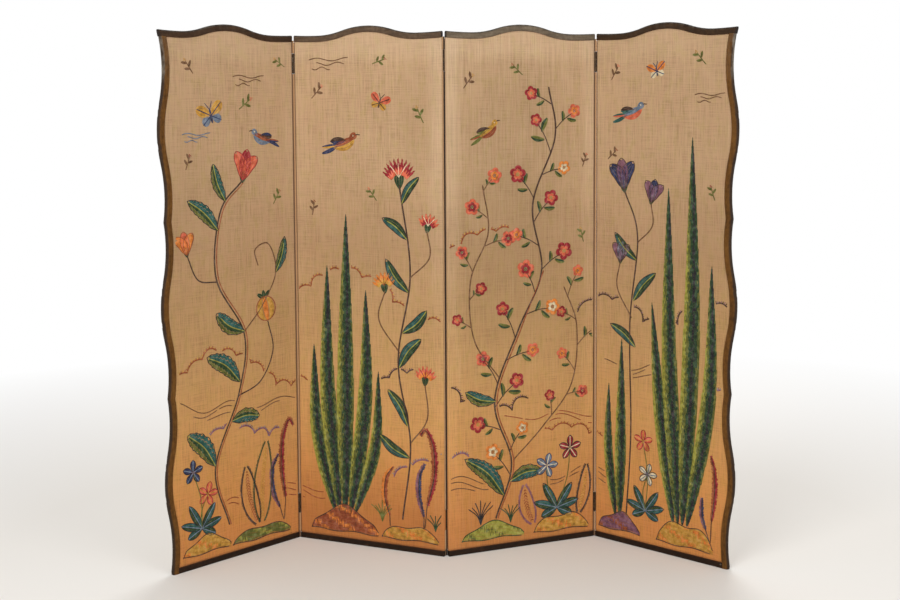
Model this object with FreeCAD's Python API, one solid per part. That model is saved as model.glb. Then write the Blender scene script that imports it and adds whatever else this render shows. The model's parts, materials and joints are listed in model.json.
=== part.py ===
import FreeCAD, Part
import math
import os

from FreeCAD import Vector

# Folding screen of four linen-covered panels with dark wood edging, standing in a zigzag.
# Lengths are in millimetres and angles in degrees. A panel is made in its own frame:
# X along the panel from its left edge plane, Y from its front face to its back, Z up from the floor.

# Panel outline
panel_width = 560.0
panel_height = 1775.0
crest_rise = 29.0
corner_rise = 3.0
crest_radius = 320.0
low_point_share = 0.34

# Scalloped outer edge of the two end panels
bulge_pitch = 575.0
top_flare_reach = 121.0
bulge_half_length = 208.0
bulge_depth = 24.0
bulge_radius = 427.0

# Wood edging
edging_width = 22.0
bottom_edging_width = 20.0
edging_outer_round = 6.0
edging_foot_round = 1.5
edging_end_setback = 1.0

# Linen covers and the welt that closes a seam
linen_thickness = 0.8
linen_recess = 2.0
linen_fold_radius = 3.0
linen_back_turn = 8.0
welt_radius = 3.3
welt_flange_depth = 11.0
welt_from_top = 35.0
welt_from_floor = 26.0
welt_to_hinge = 1.0

# Softwood stretcher inside the covers
stretcher_thickness = 12.0
stile_width = 45.0
shaped_stile_least_width = 36.0
top_rail_width = 60.0
middle_rail_width = 50.0
bottom_rail_width = 60.0
tenon_length = 25.0
tenon_thickness = 4.0
tenon_shoulder = 8.0

# Butt hinges, two at each seam
seam_gap = 3.4
pin_proud = 0.6
leaf_thickness = 1.5
leaf_depth = 13.0
leaf_corner_radius = 2.0
hinge_length = 68.0
hinge_from_top = 97.0
hinge_from_floor = 125.0
knuckle_count = 5
knuckle_side_gap = 0.25
knuckle_relief = 0.3
pin_clearance = 0.05
pin_head_radius = 2.7
pin_head_height = 1.2

# Hinge screws
screw_shank_radius = 1.3
screw_head_radius = 2.6
screw_length = 14.0
screw_point_length = 2.5
screw_slot_width = 0.6
screw_slot_depth = 0.5
screw_height_shares = (-0.33, 0.0, 0.33)

# Nails that hold the edging to the stretcher
nail_radius = 0.8
nail_head_radius = 1.4
nail_head_height = 0.8
nail_length = 36.0
nail_sunk = 0.4
nail_count = 5

# Screw in a round cup near the outer foot of the right-hand panel
foot_screw_height = 12.0
foot_screw_cup_radius = 5.0
foot_screw_cup_depth = 2.2
foot_screw_cup_to_side = 1.0
foot_screw_head_radius = 3.0
foot_screw_head_height = 1.4
foot_screw_shank_radius = 1.6
foot_screw_shank_length = 10.0

# How far each panel is turned from the screen's line, left to right
panel_turns = (47.0, -24.0, 23.0, -43.0)

# One overrun serves every cut, and one tolerance every search for an edge
overrun = 40.0
match_tolerance = 0.05

# Sizes that follow
panel_depth = stretcher_thickness + 2 * (linen_thickness + linen_recess)
edging_inner_round = linen_recess
low_height = panel_height - corner_rise
low_reach = low_point_share * panel_width
valley_radius = (low_reach**2 + crest_rise**2) / (2 * crest_rise) - crest_radius
corner_reach = panel_width / 2 - low_reach
corner_radius = (corner_reach**2 + corner_rise**2) / (2 * corner_rise)
crest_height = low_height + crest_rise
hollow_radius = (bulge_half_length**2 + bulge_depth**2) / (2 * bulge_depth) - bulge_radius
cusp_reach = bulge_pitch / 2 - bulge_half_length
top_bulge_height = panel_height - top_flare_reach - bulge_half_length
linen_back = panel_depth - linen_recess
knuckle_radius = seam_gap / 2 + leaf_thickness
bore_radius = seam_gap / 2
knuckle_length = hinge_length / knuckle_count
screw_depth = (linen_recess + pin_proud + linen_thickness + leaf_depth) / 2
middle_rail_height = panel_height / 2
hinge_heights = (hinge_from_floor, panel_height - hinge_from_top)


def box(low, high):
    """Block between two corners."""
    size = high - low
    return Part.makeBox(size.x, size.y, size.z, low)


def rod(radius, low, high):
    """Round rod on the Z axis from one height to another."""
    return Part.makeCylinder(radius, high - low, Vector(0, 0, low))


def arc(centre, radius, start, end):
    """Arc in the panel's plane about a centre, from one angle to another, 0 along X and 90 up."""

    def at(angle):
        turn = math.radians(angle)
        return centre + Vector(radius * math.cos(turn), 0, radius * math.sin(turn))

    return Part.Arc(at(start), at((start + end) / 2), at(end)).toShape()


def through_panel(edges, closing_points):
    """Solid as deep as the panel: edges in a chain, closed by straight lines through more points."""
    first = edges[0].valueAt(edges[0].FirstParameter)
    last = edges[-1].valueAt(edges[-1].LastParameter)
    outline = Part.Wire(edges + Part.makePolygon([last] + closing_points + [first]).Edges)
    return Part.Face(outline).extrude(Vector(0, panel_depth, 0))


def top_curve(inset):
    """Edges of the panel's top line, left to right, a distance in from the outline.

    Five arcs meet in tangents: a crest in the middle, a valley each side and a slow rise to each corner.
    """
    middle = panel_width / 2
    lean = math.degrees(math.asin(low_reach / (crest_radius + valley_radius)))
    spread = math.degrees(math.asin((corner_reach + overrun) / corner_radius))
    crest = Vector(middle, 0, crest_height - crest_radius)
    left_valley = Vector(middle - low_reach, 0, low_height + valley_radius)
    left_corner = Vector(middle - low_reach, 0, low_height + corner_radius)
    right_valley = Vector(middle + low_reach, 0, low_height + valley_radius)
    right_corner = Vector(middle + low_reach, 0, low_height + corner_radius)
    return [
        arc(left_corner, corner_radius + inset, 270 - spread, 270),
        arc(left_valley, valley_radius + inset, 270, 270 + lean),
        arc(crest, crest_radius - inset, 90 + lean, 90 - lean),
        arc(right_valley, valley_radius + inset, 270 - lean, 270),
        arc(right_corner, corner_radius + inset, 270, 270 + spread),
    ]


def top_height(along):
    """Height of the top outline at a place along the panel."""
    offset = abs(along - panel_width / 2)
    lean = low_reach / (crest_radius + valley_radius)
    if offset <= crest_radius * lean:
        return crest_height - crest_radius + math.sqrt(crest_radius**2 - offset**2)
    radius = valley_radius if offset <= low_reach else corner_radius
    return low_height + radius - math.sqrt(radius**2 - (offset - low_reach)**2)


def under_top(inset):
    """Everything below the top line."""
    far = panel_width + overrun
    return through_panel(top_curve(inset), [Vector(far, 0, -overrun), Vector(-overrun, 0, -overrun)])


def bulge_heights():
    """Heights of the scallops' middles, one pitch apart, from below the floor to the top scallop's."""
    below = math.ceil(top_bulge_height / bulge_pitch)
    return [top_bulge_height - turn * bulge_pitch for turn in range(below, -1, -1)]


def side_curve(inset):
    """Edges of the scalloped left outline, upwards, a distance in from it.

    Each scallop is a bulge between two hollows, in tangent arcs, and neighbours meet in a small cusp.
    The topmost hollow runs on to the panel's corner.
    """
    lean = math.degrees(math.asin(bulge_half_length / (bulge_radius + hollow_radius)))
    flare = math.degrees(math.asin(cusp_reach / (hollow_radius + inset)))
    top_flare = math.degrees(math.asin(top_flare_reach / hollow_radius))
    heights = bulge_heights()
    edges = []
    for height in heights:
        hollow_x = bulge_depth - hollow_radius
        lower = Vector(hollow_x, 0, height - bulge_half_length)
        upper = Vector(hollow_x, 0, height + bulge_half_length)
        bulge = Vector(bulge_radius, 0, height)
        edges.append(arc(lower, hollow_radius + inset, -flare, lean))
        edges.append(arc(bulge, bulge_radius - inset, 180 + lean, 180 - lean))
        edges.append(arc(upper, hollow_radius + inset, -lean, top_flare if height == heights[-1] else flare))
    return edges


def side_place(height):
    """How far the scalloped outline lies in from its bulges' tips at a height."""
    offset = min(abs(height - middle) for middle in bulge_heights())
    lean = bulge_half_length / (bulge_radius + hollow_radius)
    if offset <= bulge_radius * lean:
        return bulge_radius - math.sqrt(bulge_radius**2 - offset**2)
    return bulge_depth - hollow_radius + math.sqrt(hollow_radius**2 - (offset - bulge_half_length)**2)


def inside_side(inset):
    """Everything to the right of the scalloped line."""
    edges = side_curve(inset)
    far = panel_width + overrun
    corner = edges[-1].valueAt(edges[-1].LastParameter).x
    top = crest_height + overrun
    bottom = edges[0].valueAt(edges[0].FirstParameter).z
    return through_panel(edges, [Vector(corner, 0, top), Vector(far, 0, top), Vector(far, 0, bottom)])


def cusp_heights():
    """Heights of the cusps between scallops whose middles lie on the panel."""
    on_panel = [height for height in bulge_heights() if height > 0]
    return [(lower + upper) / 2 for lower, upper in zip(on_panel, on_panel[1:])]


def face_edges(solid, direction, wanted):
    """Edges on the two broad faces that run along a direction and whose middle is wanted."""
    diagonal = math.cos(math.radians(45))
    picked = []
    for edge in solid.Edges:
        halfway = (edge.FirstParameter + edge.LastParameter) / 2
        middle = edge.valueAt(halfway)
        on_face = min(abs(middle.y), abs(middle.y - panel_depth)) < match_tolerance
        runs_along = abs(edge.tangentAt(halfway).dot(direction)) > diagonal
        if on_face and runs_along and wanted(middle):
            picked.append(edge)
    return picked


def make_edging(shaped):
    """Edging of one panel: rounded strips along the top, the bottom and a scalloped left side.

    The top strip runs over the side strips, which stand on the floor and on each other, one to a scallop,
    and each end is coped to its neighbour.
    """
    along = Vector(1, 0, 0)
    up = Vector(0, 0, 1)
    left = -overrun if shaped else edging_end_setback
    right = panel_width - edging_end_setback
    blank = box(Vector(left, 0, 0), Vector(right, panel_depth, crest_height + overrun)).common(under_top(0))
    if shaped:
        blank = blank.common(inside_side(0))

    top = blank.cut(under_top(edging_width))
    outer = face_edges(top, along, lambda p: p.z > top_height(p.x) - edging_width / 4)
    top = top.makeFillet(edging_outer_round, outer)
    inner = face_edges(top, along, lambda p: p.z < top_height(p.x) - 3 * edging_width / 4)
    pieces = {"top_edging": top.makeFillet(edging_inner_round, inner)}

    bottom = blank.common(box(Vector(left, 0, 0), Vector(right, panel_depth, bottom_edging_width)))
    if shaped:
        bottom = bottom.common(inside_side(edging_width - edging_inner_round))
    foot = face_edges(bottom, along, lambda p: p.z < bottom_edging_width / 2)
    bottom = bottom.makeFillet(edging_foot_round, foot)
    upper = face_edges(bottom, along, lambda p: p.z > bottom_edging_width / 2)
    bottom = bottom.makeFillet(edging_inner_round, upper)

    if shaped:
        side = blank.common(under_top(edging_width - edging_inner_round)).cut(inside_side(edging_width))
        outer = face_edges(side, up, lambda p: p.x < side_place(p.z) + edging_width / 4)
        side = side.makeFillet(edging_outer_round, outer)
        inner = face_edges(side, up, lambda p: p.x > side_place(p.z) + 3 * edging_width / 4)
        side = side.makeFillet(edging_inner_round, inner).cut(pieces["top_edging"])
        bottom = bottom.cut(side)
        stops = [0.0] + cusp_heights() + [crest_height]
        far = panel_width + overrun
        strips = []
        for low, high in zip(stops, stops[1:]):
            strips.append(side.common(box(Vector(-overrun, 0, low), Vector(far, panel_depth, high))))
        pieces["side_edging"] = Part.makeCompound([strip for cut in strips for strip in cut.Solids])
    pieces["bottom_edging"] = bottom
    return pieces


def filled_panel(shaped, inset, fold_radius):
    """Block inside the edging, some way in from the linen's outer faces, with rounded seam edges."""
    left = -overrun if shaped else inset
    right = panel_width - inset
    front = linen_recess + inset
    back = linen_back - inset
    block = box(Vector(left, front, bottom_edging_width), Vector(right, back, crest_height + overrun))
    folds = []
    for edge in block.Edges:
        middle = edge.valueAt((edge.FirstParameter + edge.LastParameter) / 2)
        upright = edge.Length > panel_height / 2
        at_seam = middle.x > panel_width / 2 or not shaped
        if upright and at_seam:
            folds.append(edge)
    block = block.makeFillet(fold_radius, folds).common(under_top(edging_width))
    return block.common(inside_side(edging_width)) if shaped else block


def make_covers(shaped):
    """Front linen, wrapped round the seam edges and turned to the back, and the flat back linen."""
    core = filled_panel(shaped, linen_thickness, linen_fold_radius - linen_thickness)
    skin = filled_panel(shaped, 0, linen_fold_radius).cut(core)
    left = -overrun if shaped else linen_back_turn
    back_low = Vector(left, linen_back - linen_thickness, 0)
    back_high = Vector(panel_width - linen_back_turn, panel_depth, crest_height + overrun)
    back_zone = box(back_low, back_high)
    return {"front_linen": skin.cut(back_zone), "back_linen": skin.common(back_zone)}


def make_stretcher(shaped):
    """Two stiles and three rails, joined by tenons, that fill the covers' outline."""
    core = filled_panel(shaped, linen_thickness, linen_fold_radius - linen_thickness)
    top = crest_height + overrun
    hollow_line = bulge_depth + edging_width
    left_line = hollow_line + shaped_stile_least_width if shaped else stile_width
    right_line = panel_width - stile_width
    left_stile = core.common(box(Vector(-overrun, 0, 0), Vector(left_line, panel_depth, top)))
    right_stile = core.common(box(Vector(right_line, 0, 0), Vector(panel_width, panel_depth, top)))
    rails = {
        "top_rail": (low_height - edging_width - top_rail_width, top_rail_width),
        "middle_rail": (middle_rail_height - middle_rail_width / 2, middle_rail_width),
        "bottom_rail": (bottom_edging_width, bottom_rail_width),
    }
    tenon_front = (panel_depth - tenon_thickness) / 2
    tenon_back = tenon_front + tenon_thickness
    pieces = {}
    for name, (low, width) in rails.items():
        high = top if name == "top_rail" else low + width
        body = core.common(box(Vector(left_line, 0, low), Vector(right_line, panel_depth, high)))
        tenon_low = Vector(left_line - tenon_length, tenon_front, low + tenon_shoulder)
        tenon_high = Vector(right_line + tenon_length, tenon_back, low + width - tenon_shoulder)
        tenon = box(tenon_low, tenon_high)
        left_stile = left_stile.cut(tenon)
        right_stile = right_stile.cut(tenon)
        pieces[name] = body.fuse(tenon).removeSplitter()
    pieces["outer_stile" if shaped else "left_stile"] = left_stile
    pieces["inner_stile" if shaped else "right_stile"] = right_stile
    return pieces


def nail(place, direction):
    """Nail driven along a direction, and the hole it fills, open from its head to the wood's surface."""
    neck = place + direction * nail_head_height
    head = Part.makeCylinder(nail_head_radius, nail_head_height, place, direction)
    shank = Part.makeCylinder(nail_radius, nail_length - nail_head_height, neck, direction)
    mouth = Part.makeCylinder(nail_head_radius, nail_length, place, direction * -1)
    body = head.fuse(shank)
    return body, body.fuse(mouth)


def make_nails(shaped):
    """Nails through the edging into the stretcher with their holes, heads just below the wood's surface.

    The end nails of the top and bottom strips go into the middle of a stile.
    """
    middle_depth = panel_depth / 2
    first = bulge_depth + edging_width + shaped_stile_least_width / 2 if shaped else stile_width / 2
    last = panel_width - stile_width / 2
    nails = []
    for turn in range(nail_count):
        along = first + (last - first) * turn / (nail_count - 1)
        nails.append(nail(Vector(along, middle_depth, top_height(along) - nail_sunk), Vector(0, 0, -1)))
        nails.append(nail(Vector(along, middle_depth, nail_sunk), Vector(0, 0, 1)))
    if shaped:
        top = low_height - edging_width - nail_length
        for middle in bulge_heights():
            for height in (middle - bulge_half_length, middle, middle + bulge_half_length):
                if bottom_edging_width < height < top:
                    place = Vector(side_place(height) + nail_sunk, middle_depth, height)
                    nails.append(nail(place, Vector(1, 0, 0)))
    return nails


def foot_screw():
    """Screw driven in from the front beside the foot of a left side strip, and its cup with its hole."""
    into = Vector(0, 1, 0)
    along = side_place(foot_screw_height) + edging_width + foot_screw_cup_to_side + foot_screw_cup_radius
    face = Vector(along, 0, foot_screw_height)
    floor = face + into * foot_screw_cup_depth
    top = floor - into * foot_screw_head_height
    cup = Part.makeCylinder(foot_screw_cup_radius, foot_screw_cup_depth, face, into)
    head = Part.makeCylinder(foot_screw_head_radius, foot_screw_head_height, top, into)
    shank = Part.makeCylinder(foot_screw_shank_radius, foot_screw_shank_length, floor, into)
    rim = head.Edges[0] if head.Edges[0].CenterOfMass.y < head.Edges[-1].CenterOfMass.y else head.Edges[-1]
    head = head.makeFillet(foot_screw_head_height / 2, [rim])
    return head.fuse(shank), cup.fuse(shank)


def knuckle_ranges(parity):
    """Heights of every second knuckle of a hinge, measured from the hinge's middle."""
    ranges = []
    for turn in range(parity, knuckle_count, 2):
        low = turn * knuckle_length - hinge_length / 2
        high = low + knuckle_length
        lower_gap = knuckle_side_gap / 2 if turn > 0 else 0
        upper_gap = knuckle_side_gap / 2 if turn < knuckle_count - 1 else 0
        ranges.append((low + lower_gap, high - upper_gap))
    return ranges


def screw():
    """Countersunk screw in the pin's frame: its head's face lies at the seam edge and it points along X."""
    along = Vector(1, 0, 0)
    face = Vector(seam_gap / 2, screw_depth, 0)
    neck = face + along * leaf_thickness
    shank_length = screw_length - leaf_thickness - screw_point_length
    head = Part.makeCone(screw_head_radius, screw_shank_radius, leaf_thickness, face, along)
    shank = Part.makeCylinder(screw_shank_radius, shank_length, neck, along)
    point = Part.makeCone(screw_shank_radius, 0, screw_point_length, neck + along * shank_length, along)
    slot_low = face - Vector(overrun, screw_slot_width / 2, screw_head_radius)
    slot_high = face + Vector(screw_slot_depth, screw_slot_width / 2, screw_head_radius)
    return head.fuse(shank).fuse(point), box(slot_low, slot_high)


def hinge_leaf(parity):
    """Leaf with its rolled knuckles, in the pin's frame: X into the panel's edge, Y into its depth."""
    low = Vector(seam_gap / 2, 0, -hinge_length / 2)
    high = Vector(knuckle_radius, leaf_depth, hinge_length / 2)
    plate = box(low, high)
    corners = []
    for edge in plate.Edges:
        middle = edge.valueAt((edge.FirstParameter + edge.LastParameter) / 2)
        if abs(edge.Length - leaf_thickness) < match_tolerance and middle.y > leaf_depth / 2:
            corners.append(edge)
    leaf = plate.makeFillet(leaf_corner_radius, corners)
    for low_z, high_z in knuckle_ranges(1 - parity):
        relief_low = low_z - knuckle_side_gap
        relief_high = high_z + knuckle_side_gap
        leaf = leaf.cut(rod(knuckle_radius + knuckle_relief, relief_low, relief_high))
    for low_z, high_z in knuckle_ranges(parity):
        leaf = leaf.fuse(rod(knuckle_radius, low_z, high_z))
    leaf = leaf.cut(rod(bore_radius, -hinge_length, hinge_length))
    for share in screw_height_shares:
        hole = screw()[0]
        hole.translate(Vector(0, 0, share * hinge_length))
        leaf = leaf.cut(hole)
    return leaf.removeSplitter()


def hinge_pin():
    """Hinge pin with a low head at each end, in the pin's frame."""
    half = hinge_length / 2
    shank = rod(bore_radius - pin_clearance, -half, half)
    heads = [rod(pin_head_radius, half, half + pin_head_height),
             rod(pin_head_radius, -half - pin_head_height, -half)]
    return shank.fuse(heads)


def welt_lengths():
    """Stretches of the seam between and beyond its hinges, from the bottom up."""
    stops = [welt_from_floor]
    for height in hinge_heights:
        reach = hinge_length / 2 + pin_head_height + welt_to_hinge
        stops += [height - reach, height + reach]
    stops.append(panel_height - welt_from_top)
    return list(zip(stops[0::2], stops[1::2]))


def welt(low, high):
    """Cord-filled linen bead on the pin's axis with a flange glued to the panel's edge."""
    bead = rod(welt_radius, low, high)
    flange_low = Vector(seam_gap / 2 - linen_thickness, 0, low)
    flange_high = Vector(seam_gap / 2, welt_flange_depth, high)
    return bead.fuse(box(flange_low, flange_high)).removeSplitter()


def pin_place(side, face):
    """Place of a seam's pin in the panel's frame."""
    along = -seam_gap / 2 if side == "left" else panel_width + seam_gap / 2
    depth = -pin_proud if face == "front" else panel_depth + pin_proud
    return Vector(along, depth, 0)


def seat(shape, side, face, height=0):
    """Bring a shape from the pin's frame to a panel's left or right edge and front or back pin."""
    seated = shape.copy()
    if side == "right":
        seated = seated.mirror(Vector(), Vector(1, 0, 0))
    if face == "back":
        seated = seated.mirror(Vector(), Vector(0, 1, 0))
    seated.translate(pin_place(side, face) + Vector(0, 0, height))
    return seated


def flipped(shape):
    """Mirror image of a panel's piece, left for right."""
    return shape.mirror(Vector(panel_width / 2, 0, 0), Vector(1, 0, 0))


def cut_near(piece, tools):
    """The piece less those tools that its box meets."""
    near = [tool for tool in tools if piece.BoundBox.intersect(tool.BoundBox)]
    return piece.cut(near) if near else piece


def make_panel(shaped_side, hinged_edges):
    """Pieces of one panel in its own frame. Each hinged edge is a side of the panel and its pin's face."""
    shaped = shaped_side is not None
    pieces = {**make_edging(shaped), **make_covers(shaped), **make_stretcher(shaped)}
    nails = make_nails(shaped)
    if shaped_side == "right":
        pieces = {name: flipped(piece) for name, piece in pieces.items()}
        nails = [(flipped(body), flipped(hole)) for body, hole in nails]

    pocket_low = Vector(-overrun, -overrun, -hinge_length / 2)
    pocket = box(pocket_low, Vector(knuckle_radius, leaf_depth, hinge_length / 2))
    pockets = []
    whole_screws = []
    screws = []
    for side, face in hinged_edges:
        for hinge_height in hinge_heights:
            pockets.append(seat(pocket, side, face, hinge_height))
            for share in screw_height_shares:
                height = hinge_height + share * hinge_length
                body, slot = screw()
                whole_screws.append(seat(body, side, face, height))
                screws.append(seat(body.cut(slot), side, face, height))

    for name in pieces:
        if name.endswith("linen"):
            pieces[name] = cut_near(pieces[name], pockets)
        elif name.endswith("stile"):
            pieces[name] = cut_near(cut_near(pieces[name], pockets), whole_screws)
        if not name.endswith("linen"):
            pieces[name] = cut_near(pieces[name], [hole for body, hole in nails])
    if shaped_side == "right":
        body, hole = foot_screw()
        pieces["bottom_edging"] = pieces["bottom_edging"].cut(flipped(hole))
        pieces["foot_screw"] = flipped(body)
    pieces["nails"] = Part.makeCompound([body for body, hole in nails])
    pieces["hinge_screws"] = Part.makeCompound(screws)
    return pieces


def make_seam(face):
    """Metalwork and welt of one seam: the left panel's pieces in its frame, then the right panel's."""
    left = {
        "left_leaves": Part.makeCompound([seat(hinge_leaf(0), "right", face, z) for z in hinge_heights]),
        "pins": Part.makeCompound([seat(hinge_pin(), "right", face, z) for z in hinge_heights]),
        "welt": Part.makeCompound([seat(welt(*length), "right", face) for length in welt_lengths()]),
    }
    right = {"right_leaves": Part.makeCompound([seat(hinge_leaf(1), "left", face, z) for z in hinge_heights])}
    return left, right


# Panels from left to right: the side with the scalloped edge, if any
scalloped_sides = ("left", None, None, "right")

# Seams from left to right: the face that their pins stand on
seams = (("left_seam", "front"), ("centre_seam", "back"), ("right_seam", "front"))


def panel_places():
    """Placement of each panel in the zigzag, hung on its left neighbour's pin."""
    vertical = Vector(0, 0, 1)
    places = [FreeCAD.Placement(Vector(), FreeCAD.Rotation(vertical, panel_turns[0]))]
    for (name, face), turn in zip(seams, panel_turns[1:]):
        pin = places[-1].multVec(pin_place("right", face))
        rotation = FreeCAD.Rotation(vertical, turn)
        places.append(FreeCAD.Placement(pin - rotation.multVec(pin_place("left", face)), rotation))
    return places


def build():
    """Every node's shape and each seam's pin, with the middle of the screen's base at the origin."""
    places = panel_places()
    nodes = {}
    pins = {}

    def add(name, shape, panel):
        placed = shape.copy()
        placed.Placement = places[panel].multiply(placed.Placement)
        nodes[name] = placed

    for panel, shaped_side in enumerate(scalloped_sides):
        hinged_edges = []
        if panel > 0:
            hinged_edges.append(("left", seams[panel - 1][1]))
        if panel < len(seams):
            hinged_edges.append(("right", seams[panel][1]))
        for name, shape in make_panel(shaped_side, hinged_edges).items():
            add(f"panel_{panel + 1}_{name}", shape, panel)
    for panel, (seam, face) in enumerate(seams):
        left, right = make_seam(face)
        for name, shape in left.items():
            add(f"{seam}_{name}", shape, panel)
        for name, shape in right.items():
            add(f"{seam}_{name}", shape, panel + 1)
        pins[seam] = places[panel].multVec(pin_place("right", face))

    whole = Part.makeCompound([nodes[name] for name in nodes if name.endswith(("edging", "leaves"))])
    bounds = whole.optimalBoundingBox(False, False)
    middle = Vector(bounds.Center.x, bounds.Center.y, 0)
    for name, shape in nodes.items():
        shape.translate(-middle)
    return nodes, {seam: pin - middle for seam, pin in pins.items()}, bounds


nodes, pins, bounds = build()
os.makedirs("parts", exist_ok=True)
for name, shape in nodes.items():
    shape.exportStep(f"parts/{name}.step")
print(f"{len(nodes)} nodes, {bounds.XLength:.1f} x {bounds.YLength:.1f} x {bounds.ZLength:.1f} mm")
for seam, pin in pins.items():
    print(f"{seam} pin at {pin.x:.3f}, {pin.y:.3f}")
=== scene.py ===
import json
import math

import bpy
import numpy as np
from mathutils import Matrix, Vector


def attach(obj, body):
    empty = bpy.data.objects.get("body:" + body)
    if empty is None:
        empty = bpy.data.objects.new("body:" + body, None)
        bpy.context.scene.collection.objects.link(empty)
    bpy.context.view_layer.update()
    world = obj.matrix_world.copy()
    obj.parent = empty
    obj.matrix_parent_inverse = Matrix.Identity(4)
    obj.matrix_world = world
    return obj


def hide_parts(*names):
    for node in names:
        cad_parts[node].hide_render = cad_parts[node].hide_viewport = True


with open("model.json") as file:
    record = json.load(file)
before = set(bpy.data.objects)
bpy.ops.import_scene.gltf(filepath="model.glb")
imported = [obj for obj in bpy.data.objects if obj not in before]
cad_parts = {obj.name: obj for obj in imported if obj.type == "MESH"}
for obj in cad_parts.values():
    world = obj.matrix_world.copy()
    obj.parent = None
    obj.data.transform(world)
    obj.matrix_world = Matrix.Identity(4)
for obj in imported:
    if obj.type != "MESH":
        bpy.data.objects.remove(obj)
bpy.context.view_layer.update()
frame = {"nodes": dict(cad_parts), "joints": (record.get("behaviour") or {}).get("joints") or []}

# Folding screen of four linen-covered panels with wool embroidery and dark wood edging.
# Lengths are in millimetres in each panel's own frame, X along the panel, Y from its front to its back
# and Z up from the floor. They become metres in the screen's frame when a piece's mesh is made.
metres = 0.001

# Panel outline
panel_width = 560.0
panel_height = 1775.0
panel_depth = 17.6
crest_rise = 29.0
corner_rise = 3.0
crest_radius = 320.0
low_point_share = 0.34
bulge_pitch = 575.0
top_flare_reach = 121.0
bulge_half_length = 208.0
bulge_depth = 24.0
bulge_radius = 427.0
edging_width = 22.0
bottom_edging_width = 20.0

# Covers, hinges and welts
linen_thickness = 0.8
linen_recess = 2.0
linen_fold_radius = 3.0
linen_back_turn = 8.0
linen_tuck = 0.4
linen_sag = 0.45
linen_over_leaf = 0.85
linen_short_of_knuckle = 3.5
linen_squeeze_drop = 53.0
stile_width = 45.0
seam_gap = 3.4
pin_proud = 0.6
leaf_thickness = 1.5
leaf_depth = 13.0
hinge_length = 68.0
hinge_from_top = 97.0
hinge_from_floor = 125.0
pin_head_height = 1.2
welt_radius = 3.3
welt_flange_depth = 11.0
welt_from_top = 18.0
welt_from_floor = 1.5
welt_squeezed_radius = 2.5
welt_to_hinge = 0.3
welt_side_fullness = 0.7
welt_side_turn = math.radians(200)
welt_round_count = 14
welt_tail_count = 4

# Each panel's turn from the screen's line in degrees, its pin's seam, side and face, and its scalloped side
panel_table = (
    ("panel_1", 47.0, "left_seam", "right", "front", "left"),
    ("panel_2", -24.0, "left_seam", "left", "front", None),
    ("panel_3", 23.0, "centre_seam", "left", "back", None),
    ("panel_4", -43.0, "right_seam", "left", "front", "right"),
)
seam_table = (("left_seam", 0, "front"), ("centre_seam", 1, "back"), ("right_seam", 2, "front"))

# Sizes that follow
low_height = panel_height - corner_rise
low_reach = low_point_share * panel_width
valley_radius = (low_reach**2 + crest_rise**2) / (2 * crest_rise) - crest_radius
corner_radius = ((panel_width / 2 - low_reach) ** 2 + corner_rise**2) / (2 * corner_rise)
crest_height = low_height + crest_rise
hollow_radius = (bulge_half_length**2 + bulge_depth**2) / (2 * bulge_depth) - bulge_radius
top_bulge_height = panel_height - top_flare_reach - bulge_half_length
linen_back = panel_depth - linen_recess
squeeze_height = panel_height - linen_squeeze_drop
hinge_heights = (hinge_from_floor, panel_height - hinge_from_top)
welt_round_length = 2 * math.pi * welt_radius * metres
bead_front = 0.4 * welt_round_length
flange_start = (welt_round_count - 1) / (welt_round_count + welt_tail_count - 1) * welt_round_length


def top_line(along, inset):
    """Height of the panel's top line a distance in from its outline: a crest, two valleys, two corners."""
    offset = np.abs(along - panel_width / 2)
    crest_end = (crest_radius - inset) * low_reach / (crest_radius + valley_radius)
    crest_arc = np.sqrt((crest_radius - inset) ** 2 - np.minimum(offset, crest_end) ** 2)
    crest = crest_height - crest_radius + crest_arc
    radius = np.where(offset < low_reach, valley_radius, corner_radius)
    hollow = low_height + radius - np.sqrt((radius + inset) ** 2 - (offset - low_reach) ** 2)
    return np.where(offset < crest_end, crest, hollow)


def side_line(height):
    """How far the scalloped outline lies in from its bulges' tips: bulge arcs between hollow arcs."""
    middles = top_bulge_height - bulge_pitch * np.arange(4)
    offset = np.abs(np.asarray(height, float)[..., None] - middles).min(-1)
    bulge_end = bulge_radius * bulge_half_length / (bulge_radius + hollow_radius)
    bulge = bulge_radius - np.sqrt(bulge_radius**2 - np.minimum(offset, bulge_end) ** 2)
    hollow = bulge_depth - hollow_radius + np.sqrt(hollow_radius**2 - (offset - bulge_half_length) ** 2)
    return np.where(offset < bulge_end, bulge, hollow)


class Panel:
    """One panel's place in the screen, hung on its seam's pin."""

    def __init__(self, body, turn, seam, side, face, scalloped):
        self.body = body
        self.turn = math.radians(turn)
        self.scalloped = scalloped
        self.across = np.array([math.cos(self.turn), math.sin(self.turn), 0.0])
        self.inward = np.array([-math.sin(self.turn), math.cos(self.turn), 0.0])
        self.up = np.array([0.0, 0.0, 1.0])
        pin = next(joint["pos_m"] for joint in frame["joints"] if joint["name"] == seam + "_fold")
        along, depth = pin_place(side, face)
        self.origin = np.array(pin) - self.across * along * metres - self.inward * depth * metres

    def world(self, x, y, z):
        """Points of the screen's frame in metres for places in the panel's own frame."""
        x, y, z = np.broadcast_arrays(x, y, z)
        place = x[..., None] * self.across + y[..., None] * self.inward + z[..., None] * self.up
        return self.origin + place * metres


def pin_place(side, face):
    """Along and into the panel, where the pin of one of its seams stands."""
    along = -seam_gap / 2 if side == "left" else panel_width + seam_gap / 2
    depth = -pin_proud if face == "front" else panel_depth + pin_proud
    return along, depth


panels = [Panel(*row) for row in panel_table]


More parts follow.
